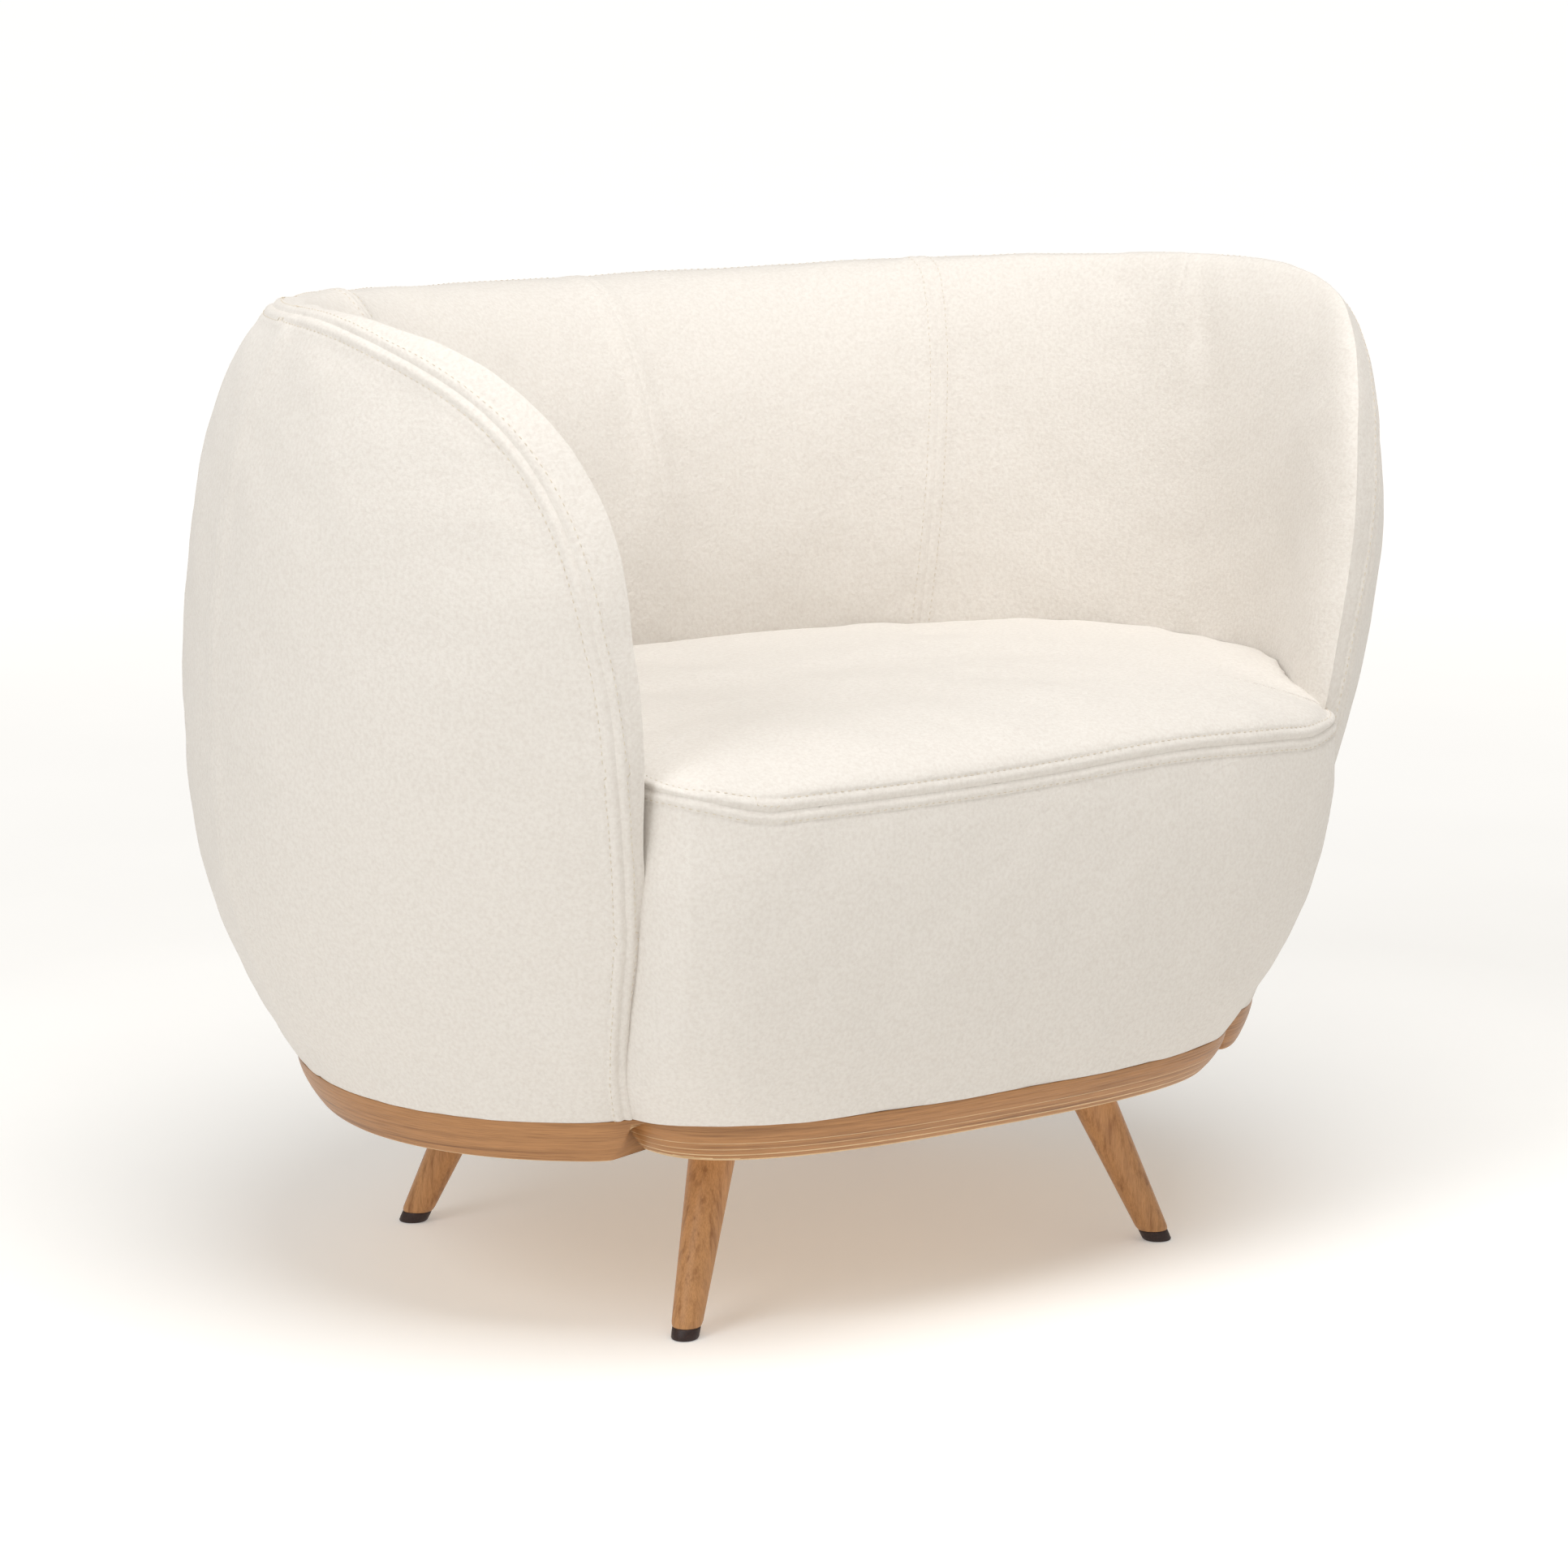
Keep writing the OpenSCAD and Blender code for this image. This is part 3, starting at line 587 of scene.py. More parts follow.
def puff(me, pins, cap, low_z, shrink):
    """Swells a padded face with a short cloth simulation, held at its seams.

    pins: (line, reach) of each seam; cap: the most that a point may move;
    low_z: nothing moves below it; shrink: the face starts this much inside.
    """
    coarse = me.copy()
    bm = bmesh.new()
    bm.from_mesh(coarse)
    bmesh.ops.remove_doubles(bm, verts=bm.verts, dist=PUFF_PITCH * MM)
    bm.to_mesh(coarse)
    open_edge = {v.index for e in bm.edges if e.is_boundary for v in e.verts}
    bm.free()
    src = link(coarse, "puff_source")
    before = coords_of(coarse)
    held = (before[:, 2] / MM < low_z)
    for line, reach in pins:
        d, _ = distance_to(before / MM, line, reach)
        held |= d < reach
    held[list(open_edge)] = True
    group = src.vertex_groups.new(name="pin")
    group.add([int(i) for i in np.where(held)[0]], 1.0, "REPLACE")
    cloth = src.modifiers.new("Cloth", "CLOTH")
    st = cloth.settings
    st.quality, st.mass = 5, 0.3
    st.tension_stiffness = st.compression_stiffness = 15
    st.shear_stiffness, st.bending_stiffness = 8, 1.5
    st.use_pressure, st.uniform_pressure_force = True, 4.0
    st.vertex_group_mass = "pin"
    st.effector_weights.gravity = 0
    cloth.collision_settings.use_collision = False
    scene = bpy.context.scene
    for f in range(1, PUFF_FRAMES + 1):
        scene.frame_set(f)
    done = src.evaluated_get(bpy.context.evaluated_depsgraph_get()).to_mesh()
    move = coords_of(done) - before
    size = np.linalg.norm(move, axis=1) / MM
    move *= (cap * np.tanh(size / cap) / np.maximum(size, 1e-9))[:, None]
    tree = tree_of(before)
    co, n = coords_of(me), normals_of(me)
    out = np.zeros_like(co)
    for i, p in enumerate(co):
        near = tree.find_n(p, 14)
        w = np.array([math.exp(-(d / (12 * MM)) ** 2) for _, _, d in near]) + 1e-9
        out[i] = (move[[j for _, j, _ in near]] * w[:, None]).sum(0) / w.sum()
    # nothing moves at the seams, along the open edges or below low_z
    free = ease((co[:, 2] / MM - low_z) / 16)
    for line, reach in pins:
        d, _ = distance_to(co / MM, line, reach + 16)
        free *= ease((d - 0.3 * reach) / 16)
    rim = boundary_points(me)
    if rim:
        tree = tree_of(rim)
        free *= ease(np.array([tree.find(p)[2] for p in co]) / (18 * MM))
    put_coords(me, co + (out - n * shrink * MM) * free[:, None])
    scene.frame_set(1)
    bpy.data.objects.remove(src)


def outward(me, test):
    """Flips a skin whose normals point inwards at the test vertex."""
    co, n = coords_of(me), normals_of(me)
    i = int(np.argmax(co @ np.array(test)))
    if n[i] @ np.array(test) < 0:
        me.flip_normals()
        me.update()


def rings_mesh(rings, name):
    """Closed body through level rings of equal length."""
    rings = np.asarray(rings, float)
    n = rings.shape[1]
    bm = bmesh.new()
    vs = [[bm.verts.new(p * MM) for p in ring] for ring in rings]
    for a, b in zip(vs, vs[1:]):
        for i in range(n):
            j = (i + 1) % n
            bm.faces.new((a[i], a[j], b[j], b[i]))
    for ring in (vs[0], vs[-1]):
        bmesh.ops.triangulate(bm, faces=[bm.faces.new(ring)])
    bmesh.ops.recalc_face_normals(bm, faces=bm.faces)
    me = bpy.data.meshes.new(name)
    bm.to_mesh(me)
    bm.free()
    shade_smooth(me)
    return me


# ----------------------------------------------------------------- materials
def new_material(name, roughness, **sockets):
    m = bpy.data.materials.new(name)
    m.use_nodes = True
    t = m.node_tree
    t.nodes.clear()
    out = t.nodes.new("ShaderNodeOutputMaterial")
    sh = t.nodes.new("ShaderNodeBsdfPrincipled")
    t.links.new(sh.outputs[0], out.inputs[0])
    sh.inputs["Roughness"].default_value = roughness
    for k, v in sockets.items():
        sh.inputs[k.replace("_", " ")].default_value = v
    co = t.nodes.new("ShaderNodeTexCoord")
    return m, t, sh, co.outputs["Object"]


def noise(t, vec, scale, detail=3.0, rough=0.55, stretch=None):
    if stretch:
        mp = t.nodes.new("ShaderNodeMapping")
        mp.inputs["Scale"].default_value = stretch
        t.links.new(vec, mp.inputs["Vector"])
        vec = mp.outputs[0]
    n = t.nodes.new("ShaderNodeTexNoise")
    n.inputs["Scale"].default_value = scale
    n.inputs["Detail"].default_value = detail
    n.inputs["Roughness"].default_value = rough
    t.links.new(vec, n.inputs["Vector"])
    return n.outputs["Fac"]


def ramp(t, fac, stops):
    r = t.nodes.new("ShaderNodeValToRGB")
    el = r.color_ramp.elements
    while len(el) < len(stops):
        el.new(0.5)
    for e, (pos, col) in zip(el, stops):
        e.position = pos
        e.color = (*col, 1)
    t.links.new(fac, r.inputs[0])
    return r.outputs[0]


def mix_colour(t, fac, a, b):
    m = t.nodes.new("ShaderNodeMix")
    m.data_type = "RGBA"
    if isinstance(fac, float):
        m.inputs[0].default_value = fac
    else:
        t.links.new(fac, m.inputs[0])
    for sock, v in ((m.inputs[6], a), (m.inputs[7], b)):
        if isinstance(v, tuple):
            sock.default_value = (*v, 1)
        else:
            t.links.new(v, sock)
    return m.outputs[2]


def add(t, a, b, wa=1.0, wb=1.0):
    x = t.nodes.new("ShaderNodeMath")
    x.operation = "MULTIPLY"
    t.links.new(a, x.inputs[0])
    x.inputs[1].default_value = wa
    y = t.nodes.new("ShaderNodeMath")
    y.operation = "MULTIPLY_ADD"
    t.links.new(b, y.inputs[0])
    y.inputs[1].default_value = wb
    t.links.new(x.outputs[0], y.inputs[2])
    return y.outputs[0]


def bump(t, sh, height, distance, strength):
    b = t.nodes.new("ShaderNodeBump")
    b.inputs["Distance"].default_value = distance
    b.inputs["Strength"].default_value = strength
    t.links.new(height, b.inputs["Height"])
    t.links.new(b.outputs[0], sh.inputs["Normal"])


def srgb(r, g, b):
    return tuple(((c / 255 + 0.055) / 1.055) ** 2.4 if c > 10 else c / 255 / 12.92
                 for c in (r, g, b))


def wool(name, light, dark):
    m, t, sh, co = new_material(name, 0.95, Sheen_Weight=0.25, Sheen_Roughness=0.5,
                                Specular_IOR_Level=0.12)
    tuft = noise(t, co, 380, 3, 0.5)
    fibre = noise(t, co, 1300, 3, 0.7, (1, 1, 1.5))
    cloud = noise(t, co, 26, 3, 0.5)
    wrinkle = noise(t, co, 105, 3, 0.6, (0.75, 0.75, 1.25))
    c = ramp(t, tuft, [(0.22, dark), (0.62, light), (0.85, light)])
    c = mix_colour(t, ramp(t, fibre, [(0.30, (0, 0, 0)), (0.70, (1, 1, 1))]),
                   mix_colour(t, 0.25, c, dark), c)
    c = mix_colour(t, ramp(t, cloud, [(0.3, (0, 0, 0)), (0.7, (0.35, 0.35, 0.35))]), c,
                   mix_colour(t, 0.12, c, dark))
    t.links.new(c, sh.inputs["Base Color"])
    h = add(t, add(t, tuft, fibre, 1.0, 0.35), wrinkle, 1.0, 1.3)
    bump(t, sh, h, 0.0007, 0.6)
    return m


def wood(name, base, dark, along, scale):
    """Long-grained timber, the grain along the axis of least stretch."""
    m, t, sh, co = new_material(name, 0.42, Coat_Weight=0.12, Coat_Roughness=0.35,
                                Specular_IOR_Level=0.35)
    grain = noise(t, co, scale, 6, 0.62, along)
    fine = noise(t, co, scale * 6, 4, 0.6, along)
    pale = tuple(min(1, v * 1.16) for v in base)
    c = ramp(t, grain, [(0.30, dark), (0.48, base), (0.72, pale)])
    c = mix_colour(t, ramp(t, fine, [(0.38, (1, 1, 1)), (0.56, (0, 0, 0))]), c,
                   mix_colour(t, 0.35, c, dark))
    t.links.new(c, sh.inputs["Base Color"])
    bump(t, sh, add(t, grain, fine, 0.5, 1.0), 0.0004, 0.5)
    return m


def simple(name, light, dark, scale, roughness, height=0.0003, metallic=0.0, stretch=None):
    m, t, sh, co = new_material(name, roughness, Metallic=metallic)
    n = noise(t, co, scale, 4, 0.6, stretch)
    t.links.new(ramp(t, n, [(0.32, dark), (0.66, light)]), sh.inputs["Base Color"])
    bump(t, sh, n, height, 0.7)
    return m


WOOL = wool("wool_felt", srgb(227, 222, 215), srgb(216, 209, 201))
THREAD = simple("seam_thread", srgb(226, 216, 199), srgb(200, 186, 164), 2600, 0.85, 0.0002)
OAK_EDGE = wood("oak_plinth", srgb(174, 125, 79), srgb(126, 84, 48), (0.3, 0.3, 13), 26)
OAK_LEG = wood("oak_leg", srgb(194, 144, 96), srgb(150, 102, 62), (9, 9, 0.7), 26)
GLIDE = simple("glide_plastic", srgb(58, 38, 34), srgb(38, 24, 22), 900, 0.5, 0.0001)
STEEL = simple("zinc_steel", (0.62, 0.63, 0.64), (0.48, 0.49, 0.50), 500, 0.35, 0.00005, 1.0)
BIRCH = wood("birch_ply", srgb(214, 184, 142), srgb(186, 150, 106), (1, 1, 8), 30)
BEECH = wood("beech", srgb(206, 160, 118), srgb(176, 128, 88), (7, 1, 7), 24)
FOAM = simple("foam", srgb(238, 226, 178), srgb(214, 198, 146), 900, 0.95, 0.0006)
WEB = simple("webbing", srgb(92, 88, 82), srgb(54, 52, 50), 700, 0.85, 0.0006, 0.0, (1, 8, 1))
FELT = simple("felt", srgb(150, 146, 140), srgb(104, 101, 97), 800, 0.95, 0.0006)

CARRIED = {
    BIRCH: ["base_rail", "belt_rail", "top_rail", "board_outer", "board_inner", "seat_front_board"],
    BEECH: ["back_post_left", "back_post_right", "side_post_left", "side_post_right",
            "arm_post_left", "arm_post_right", "seat_rail_front", "seat_rail_rear",
            "seat_rail_left", "seat_rail_right", "seat_posts"],
    STEEL: ["glide_nails", "leg_bolts", "leg_inserts", "plinth_screws"],
    WEB: ["webbing_lengthwise", "webbing_crosswise"],
    FELT: ["seat_felt"],
}
for material, nodes in CARRIED.items():
    for node in nodes:
        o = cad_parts[node]
        if not o.material_slots:
            o.data.materials.append(material)
        for s in o.material_slots:
            s.material = material


def place(me, name, material, slot, *nodes, soft=None):
    me.materials.clear()
    me.materials.append(material)
    o = link(me, name)
    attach(o, "root")
    if nodes:
        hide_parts(*nodes)
    return o


# ------------------------------------------------------------------- shell
skin = Skin()
outer_pts, outer_label = outer_grid()
skin.grid(outer_pts, outer_label)
inner_pts, inner_label, inner_cols = inner_grid()
skin.grid(inner_pts, inner_label, flip=True)
band_pts, band_label, rim_seam = rim_band(inner_cols)
skin.grid(band_pts, band_label)
shell_mesh, shell_names = skin.mesh("shell_skin")
outward(shell_mesh, (0, 1, 0))


def inner_line(c):
    """Line of an inner seam on the grid angle c, from the seat over the rim."""
    pts = []
    for z in np.arange(SKIN_FOOT, BAND_Z, 6.0):
        p0 = warp(np.array(float(c)), np.array(z))
        pts.append(wall(p0, np.array(z), np.array(1.0), -1))
    for v in np.linspace(0.01, 1, 90):
        z = BAND_Z + (crest(c) - BAND_Z) * v
        p0 = warp(np.array(float(c)), z)
        z = BAND_Z + (crest(p0) - BAND_Z) * v
        pts.append(wall(p0, z, np.sqrt(max(0, 1 - v * v)), -1))
    for t in np.linspace(0.1, 1, 8):
        q = math.sqrt(1 - (0.20 * t) ** 2)
        p0 = warp(np.array(float(c)), crest(c))
        z = BAND_Z + (crest(p0) - BAND_Z) * q
        pts.append(wall(p0, z, np.array(0.20 * t), 1))
    return np.array(pts)


def outer_side_line(sign):
    """Line of the outer cover's vertical seam, from the plinth to the rim's seam."""
    u = np.full((len(ROWS), 1), side_u)
    line = shell(np.array([[sign * SHOULDER]]), np.array([[sign]]), u, row_arrays(1), 1,
                 to_seam=True)
    return line[:, 0]


INNER_A = [inner_line(s * SEAM_A) for s in (-1, 1)]
INNER_B = [inner_line(s * SEAM_B) for s in (-1, 1)]
CENTRE = inner_line(0.0)
SIDES = [outer_side_line(s) for s in (-1, 1)]
shell_seams = [(rim_seam, felled_arm, 22.0), (CENTRE, plain, 12.0)]
shell_seams += [(s, topstitched, 14.0) for s in INNER_A]
shell_seams += [(s, plain, 12.0) for s in INNER_B + SIDES]
shell_pins = [(rim_seam, 10.0), (CENTRE, 5.0)] + [(s, 6.0) for s in INNER_A + INNER_B + SIDES]
puff(shell_mesh, shell_pins, 2.2, 176.0, 1.8)
relief(shell_mesh, shell_seams, 11)
shell_tree = surface_of(shell_mesh)
shell_pieces = split_pieces(shell_mesh, shell_names, FABRIC * MM)
FOAM_UNDER = {
    "outer_back": "foam_outer_back", "outer_left": "foam_outer_left",
    "outer_right": "foam_outer_right",
    "inner_back_left": "foam_inner_back", "inner_back_right": "foam_inner_back",
    "inner_side_left": "foam_inner_back", "inner_side_right": "foam_inner_back",
    "inner_arm_left": "foam_inner_left", "inner_arm_right": "foam_inner_right",
}
for name, me in shell_pieces.items():
    cover = "cover_" + name
    place(me, cover + "_fabric", WOOL, "wool_fabric", cover, FOAM_UNDER[name], soft=0.9)

# -------------------------------------------------------------------- seat
seat_top_rows = top_grid()
seat_front_rows = front_grid()
seat_line = seat_front_rows[-1]

front = Skin()
front.grid(seat_front_rows, "front")
front_mesh, _ = front.mesh("seat_front")
outward(front_mesh, (0, -1, 0))

ring_rows = close_ring(seat_top_rows)


def seat_ring(share, z):
    """The cushion's lowest ring drawn in towards its middle, at height z."""
    xy = SEAT_MID + (ring_rows[0][:, :2] - SEAT_MID) * share
    return np.column_stack([xy, np.full(len(xy), z)])


under = [seat_ring(share, SEAT_UNDER) for share in (0.0, 0.5, 1 - 9 / 300)]
cushion = Skin()
cushion.grid(np.concatenate([under, ring_rows, [seat_ring(0.0, SEAT_CROWN + 2)]]), "top")
cushion_mesh, _ = cushion.mesh("seat_cushion", 0.3)
outward(cushion_mesh, (0, 0, 1))
puff(cushion_mesh, [(seat_line, 11.0)], 4.0, 394.0, 0.0)
puff(front_mesh, [(seat_line, 11.0)], 1.5, 176.0, 0.0)
edge_normals = shared_normals([front_mesh, cushion_mesh])
relief(front_mesh, [(seat_line, felled, 22.0)], 23, edge_normals[0])
relief(cushion_mesh, [(seat_line, felled, 22.0)], 23, edge_normals[1])
place(thicken(front_mesh.copy(), "seat_front", FABRIC * MM), "seat_front_fabric", WOOL,
      "wool_fabric", "cover_seat_front", "seat_front_foam", soft=0.8)
seat_trees = [surface_of(me) for me in (cushion_mesh, front_mesh)]
shade_smooth(cushion_mesh)
cushion_mesh.set_sharp_from_angle(angle=math.radians(60))
place(cushion_mesh, "seat_cushion_fabric", WOOL, "wool_fabric", "cover_seat_top", "seat_topper",
      soft=0.75)


BLOCK_LOW = 306.0
BLOCK_PROFILE = ((12, 306.4), (8.5, 307), (6.5, 309), (6, 312), (6, 345), (6, 376), (6.5, 380),
                 (8.5, 382), (12, 383))                   # (inset, height)


def block_outline(inset):
    """Outline of the foam block under the cushion, on the felt and webbing."""
    phi = np.linspace(-112, 112, 75)
    al = np.clip((np.abs(phi) - SHOULDER) / ARM_SPAN, 0, 1)
    rear = wall(phi, np.full(len(phi), BLOCK_LOW), np.sqrt(1 - al ** ROLL_ARM), -1)[:, :2]
    fr = panel(np.linspace(80, -80, 41), np.full(41, BLOCK_LOW))[:, :2]
    fr = fr + np.array([0, 44.0])
    ring = np.concatenate([rear * 0.985 + SEAT_MID * 0.015, fr])
    return SEAT_MID + (ring - SEAT_MID) * (1 - inset / 260)


block_rings = [np.column_stack([block_outline(i), np.full(116, z)]) for i, z in BLOCK_PROFILE]
place(rings_mesh(block_rings, "seat_block"), "seat_foam_block", FOAM, "foam", "seat_core",
      soft=0.95)


# ------------------------------------------------------------------ plinth
def nose_x(z):
    return float(wall(np.array(ARM_END), np.array(z), np.array(0.0), 1)[0])


def arm_end(d):
    """Angle at which the arm ends, d millimetres inside the outer face."""
    return ARM_END - d * 0.143


def depth_wall(phi, d):
    """The wall's foot, drawn in by d millimetres."""
    al = np.clip((np.abs(phi) - SHOULDER) / (arm_end(d) - SHOULDER), 0, 1)
    full = np.sqrt(np.maximum(0, 1 - al ** (ROLL_BACK + (ROLL_ARM - ROLL_BACK) * (al > 0))))
    mx, my = plan_curve(phi, MIDDLE)
    px, py = plan_curve(phi, FACE[1])
    run = np.hypot(px - mx, py - my)
    p = wall(phi, np.full(len(phi), PLINTH_TOP), full * (1 - d / run), 1)
    return p[:, :2]


def plinth_outline(inset):
    d = inset / 0.8
    arm = 1 - (1 - np.linspace(0.012, 1, 46)) ** 1.8
    t = np.concatenate([np.linspace(0, SHOULDER, 70), SHOULDER + (arm_end(d) - SHOULDER) * arm])
    phi = np.concatenate([-t[:0:-1], t])
    rear = depth_wall(phi, d)
    half, deep, mid, n = panel_shape(PLINTH_TOP)
    half, deep = half - inset, deep - inset
    x = np.sin(np.radians(np.linspace(90, -90, 95))) * min(half, nose_x(PLINTH_TOP) - 9)
    y = mid - deep * np.maximum(0, 1 - np.abs(x / half) ** n) ** (1 / n) + Y_SHIFT
    return np.concatenate([rear, np.column_stack([x, y])])


EDGE = 0.03                     # share of the plinth's height that each edge rounds off
PLIES = (0.16, 0.33, 0.5, 0.66, 0.83)


def plinth_rings():
    """The board's edge: drawn in towards the floor, with a fine line at each ply."""
    rows = []
    rise = PLINTH_TOP - PLINTH_LOW
    for t in np.linspace(0, 1, 59):
        inset = 17 * (1 - t) ** 1.75
        inset += 0.28 * sum(math.exp(-((t - c) / 0.014) ** 2) for c in PLIES)
        if t > 1 - EDGE:
            inset += 0.5 * (1 - math.sqrt(max(0, 1 - ((t - (1 - EDGE)) / EDGE) ** 2)))
        if t < EDGE:
            inset += 0.9 * (1 - t / EDGE) ** 2
        ring = plinth_outline(inset)
        rows.append(np.column_stack([ring, np.full(len(ring), PLINTH_LOW + rise * t)]))
    return rows


board = place(rings_mesh(plinth_rings(), "plinth"), "plinth_oak", OAK_EDGE, "oak",
              "plinth_board").data
board.materials.append(BIRCH)                             # its underside
for face in board.polygons:
    if face.normal.z < -0.7:
        face.material_index = 1

# -------------------------------------------------------------------- legs
FOOT_X, FOOT_FRONT, FOOT_REAR = 210.0, -220.0, 140.0
SPLAY_X, SPLAY_Y = 0.38, 0.26
LEG_TOP_R, LEG_FOOT_R, GLIDE_R, GLIDE_H = 17.2, 10.6, 9.6, 8.0


def leaning_rings(sx, sy, profile, n=56):
    """Level rings along a leaning axis: profile gives (height, radius across the axis)."""
    lean = np.array([SPLAY_X, SPLAY_Y])
    size = np.linalg.norm(lean)
    e = lean / size * np.array([-sx, -sy])
    side = np.array([-e[1], e[0]])
    grow = math.sqrt(1 + size ** 2)
    foot = np.array([sx * FOOT_X, FOOT_FRONT if sy < 0 else FOOT_REAR])
    a = np.linspace(0, 2 * np.pi, n, endpoint=False)
    rings = []
    for z, r in profile:
        mid = foot - np.array([sx * SPLAY_X, sy * SPLAY_Y]) * z
        rings.append([[*(mid + e * math.cos(t) * r * grow + side * math.sin(t) * r), z] for t in a])
    return rings


leg_profile = []
for z in np.concatenate([[8.0, 8.5, 9.4, 11], np.linspace(14, 135.6, 22)]):
    r = LEG_FOOT_R + (LEG_TOP_R - LEG_FOOT_R) * (z - GLIDE_H) / (PLINTH_LOW - GLIDE_H)
    r -= 0.8 * max(0, 1 - (z - GLIDE_H) / 3) ** 2
    leg_profile.append((float(z), float(r)))
glide_profile = [(z, GLIDE_R + dr) for z, dr in
                 ((0.0, -1.0), (0.35, -.45), (1.1, 0), (4, .15), (6.6, .2), (7.6, .1), (8.0, -.3))]
for fx, xn in ((-1, "left"), (1, "right")):
    for fy, yn in ((-1, "front"), (1, "rear")):
        tag = yn + "_" + xn
        place(rings_mesh(leaning_rings(fx, fy, leg_profile), "leg_" + tag),
              "leg_" + tag + "_oak", OAK_LEG, "oak", "leg_" + tag)
        place(rings_mesh(leaning_rings(fx, fy, glide_profile), "glide_" + tag),
              "glide_" + tag + "_cap", GLIDE, "glide_plastic", "glide_" + tag)


# ---------------------------------------------------------------- stitches
def nearest(trees, p):
    """Nearest place on any of the surfaces: where, normal, face, distance."""
    hits = [h for h in (tree.find_nearest(Vector(p * MM)) for tree in trees) if h[0] is not None]
    return min(hits, key=lambda h: h[3])


ARCH = (-0.3, 0.08, 0.18, 0.08, -0.3)     # height of a thread over the fabric


def stitch_rows(trees, line, offsets, pitch, length, thick, start=0.0, stop=1.0):
    """Arched threads beside a seam line, lying on the fabric."""
    fine, total = resample(line, 0.5)
    verts, faces = [], []
    count = int(total * (stop - start) / pitch)
    for side in offsets:
        for i in range(count):
            s0 = total * start + (i + 0.5) * pitch
            pts = []
            for k in range(5):
                s = s0 + (k / 4 - 0.5) * length
                j = min(len(fine) - 2, max(0, int(s / total * (len(fine) - 1))))
                p, d = fine[j], fine[j + 1] - fine[j]
                b = np.cross(np.array(nearest(trees, p)[1]), d)
                b /= max(1e-9, np.linalg.norm(b))
                hit = nearest(trees, p + b * side)
                n = np.array(hit[1])
                pts.append((np.array(hit[0]) / MM + n * ARCH[k], n))
            base = len(verts)
            for k, (p, n) in enumerate(pts):
                a = pts[max(0, k - 1)][0]
                c = pts[min(4, k + 1)][0]
                t = (c - a) / max(1e-9, np.linalg.norm(c - a))
                b = np.cross(t, n)
                b /= max(1e-9, np.linalg.norm(b))
                up = np.cross(b, t)
                r = thick / 2 * (0.75 if k in (0, 4) else 1)
                for w in range(5):
                    ang = 2 * math.pi * w / 5
                    verts.append((p + (b * math.cos(ang) + up * math.sin(ang)) * r) * MM)
            for k in range(4):
                a = base + k * 5
                for w in range(5):
                    x = (w + 1) % 5
                    faces.append((a + w, a + x, a + 5 + x, a + 5 + w))
            faces.append(tuple(base + w for w in range(4, -1, -1)))
            faces.append(tuple(base + 20 + w for w in range(5)))
    return verts, faces


def stitches(name, jobs):
    verts, faces = [], []
    for job in jobs:
        v, f = stitch_rows(*job)
        off = len(verts)
        verts += v
        faces += [tuple(i + off for i in x) for x in f]
    me = bpy.data.meshes.new(name)
    me.from_pydata([tuple(v) for v in verts], [], faces)
    shade_smooth(me)
    return place(me, name, THREAD, "wool_fabric")


stitches("rim_stitches", [([shell_tree], rim_seam, (-8.6, 8.6), 5.5, 3.0, 0.55)])
stitches("seat_stitches", [(seat_trees, seat_line, (-8.6, 8.6), 5.5, 3.0, 0.55)])
stitches("back_stitches", [([shell_tree], line, (-7.0, 7.0), 5.0, 2.8, 0.45, 0.12, 0.95)
                           for line in INNER_A])

# -------------------------------------------------- camera, light and floor
cam_data = bpy.data.cameras.new("Camera")
cam_data.lens, cam_data.sensor_width = 110.87, 36.0
cam_data.clip_start, cam_data.clip_end = 0.05, 60
camera = bpy.data.objects.new("Camera", cam_data)
bpy.context.scene.collection.objects.link(camera)
camera.location = (-1.9982, -2.8526, 0.9899)
aim = Vector((-0.00573, -0.050, 0.33773)) - camera.location
camera.rotation_mode = "QUATERNION"
camera.rotation_quaternion = aim.to_track_quat("-Z", "Y")
bpy.context.scene.camera = camera


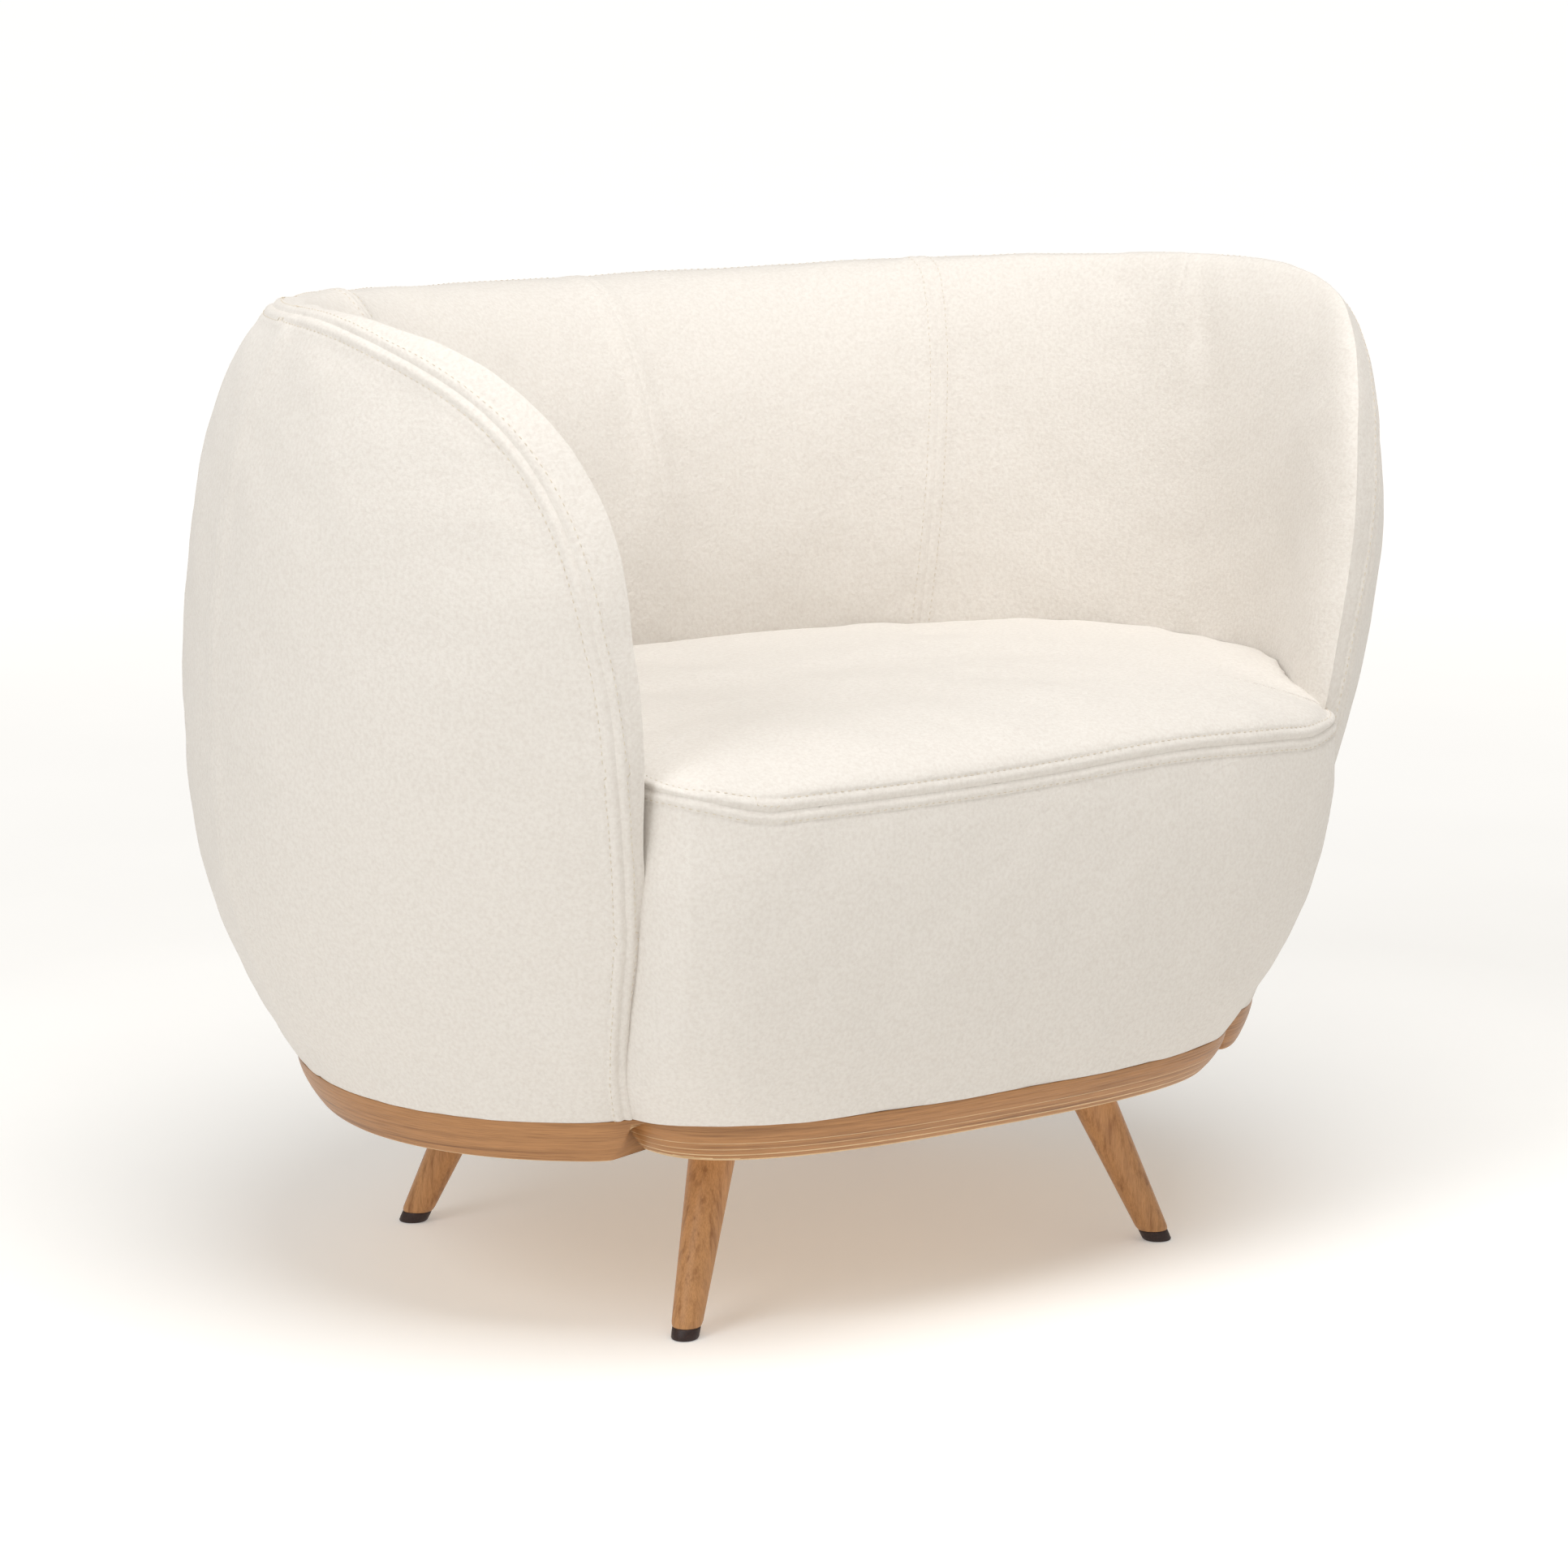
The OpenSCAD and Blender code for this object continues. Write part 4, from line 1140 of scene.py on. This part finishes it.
def area(name, loc, target, size, power, colour=(1, 1, 1)):
    """Round soft light."""
    d = bpy.data.lights.new(name, "AREA")
    d.shape, d.size, d.energy, d.color = "DISK", size, power, colour
    o = bpy.data.objects.new(name, d)
    bpy.context.scene.collection.objects.link(o)
    o.location = loc
    o.rotation_mode = "QUATERNION"
    o.rotation_quaternion = (Vector(target) - Vector(loc)).to_track_quat("-Z", "Y")


area("Key", (-3.5, -1.0, 2.7), (0, -0.05, 0.4), 2.0, 47, (0.94, 0.97, 1))
area("Top", (-0.3, -1.0, 3.3), (0, 0.0, 0.5), 2.4, 80)

bpy.context.scene.view_settings.view_transform = "Standard"
world = bpy.data.worlds.new("Studio")
bpy.context.scene.world = world
world.use_nodes = True
wt = world.node_tree
wt.nodes["Background"].inputs[0].default_value = (1, 0.96, 0.89, 1)
wt.nodes["Background"].inputs[1].default_value = 0.37

FLOOR_R, FLOOR_Z = 60.0, -0.0002
floor_me = bpy.data.meshes.new("floor")
fm = bmesh.new()
ring = [fm.verts.new((FLOOR_R * math.cos(a), FLOOR_R * math.sin(a), FLOOR_Z)) for a in
        np.linspace(0, 2 * math.pi, 96, endpoint=False)]
fm.faces.new(ring)
fm.to_mesh(floor_me)
fm.free()
floor = link(floor_me, "studio_floor")
FLOOR, ft, fsh, fco = new_material("floor_paint", 0.9, Specular_IOR_Level=0.1,
                                   Emission_Color=(1, 1, 1, 1))
paint = ramp(ft, noise(ft, fco, 3.0, 3), [(0.3, (0.84, 0.83, 0.81)), (0.7, (0.86, 0.85, 0.83))])
ft.links.new(paint, fsh.inputs["Base Color"])
# the far floor glows up to white, and the near floor leaves the light to the lamps
far = ft.nodes.new("ShaderNodeVectorMath")
far.operation = "LENGTH"
ft.links.new(fco, far.inputs[0])
glow = ft.nodes.new("ShaderNodeMapRange")
for socket, value in zip(glow.inputs[1:5], (1.1, 4.0, 0.24, 0.72)):
    socket.default_value = value
ft.links.new(far.outputs["Value"], glow.inputs["Value"])
ft.links.new(glow.outputs["Result"], fsh.inputs["Emission Strength"])
floor_me.materials.append(FLOOR)
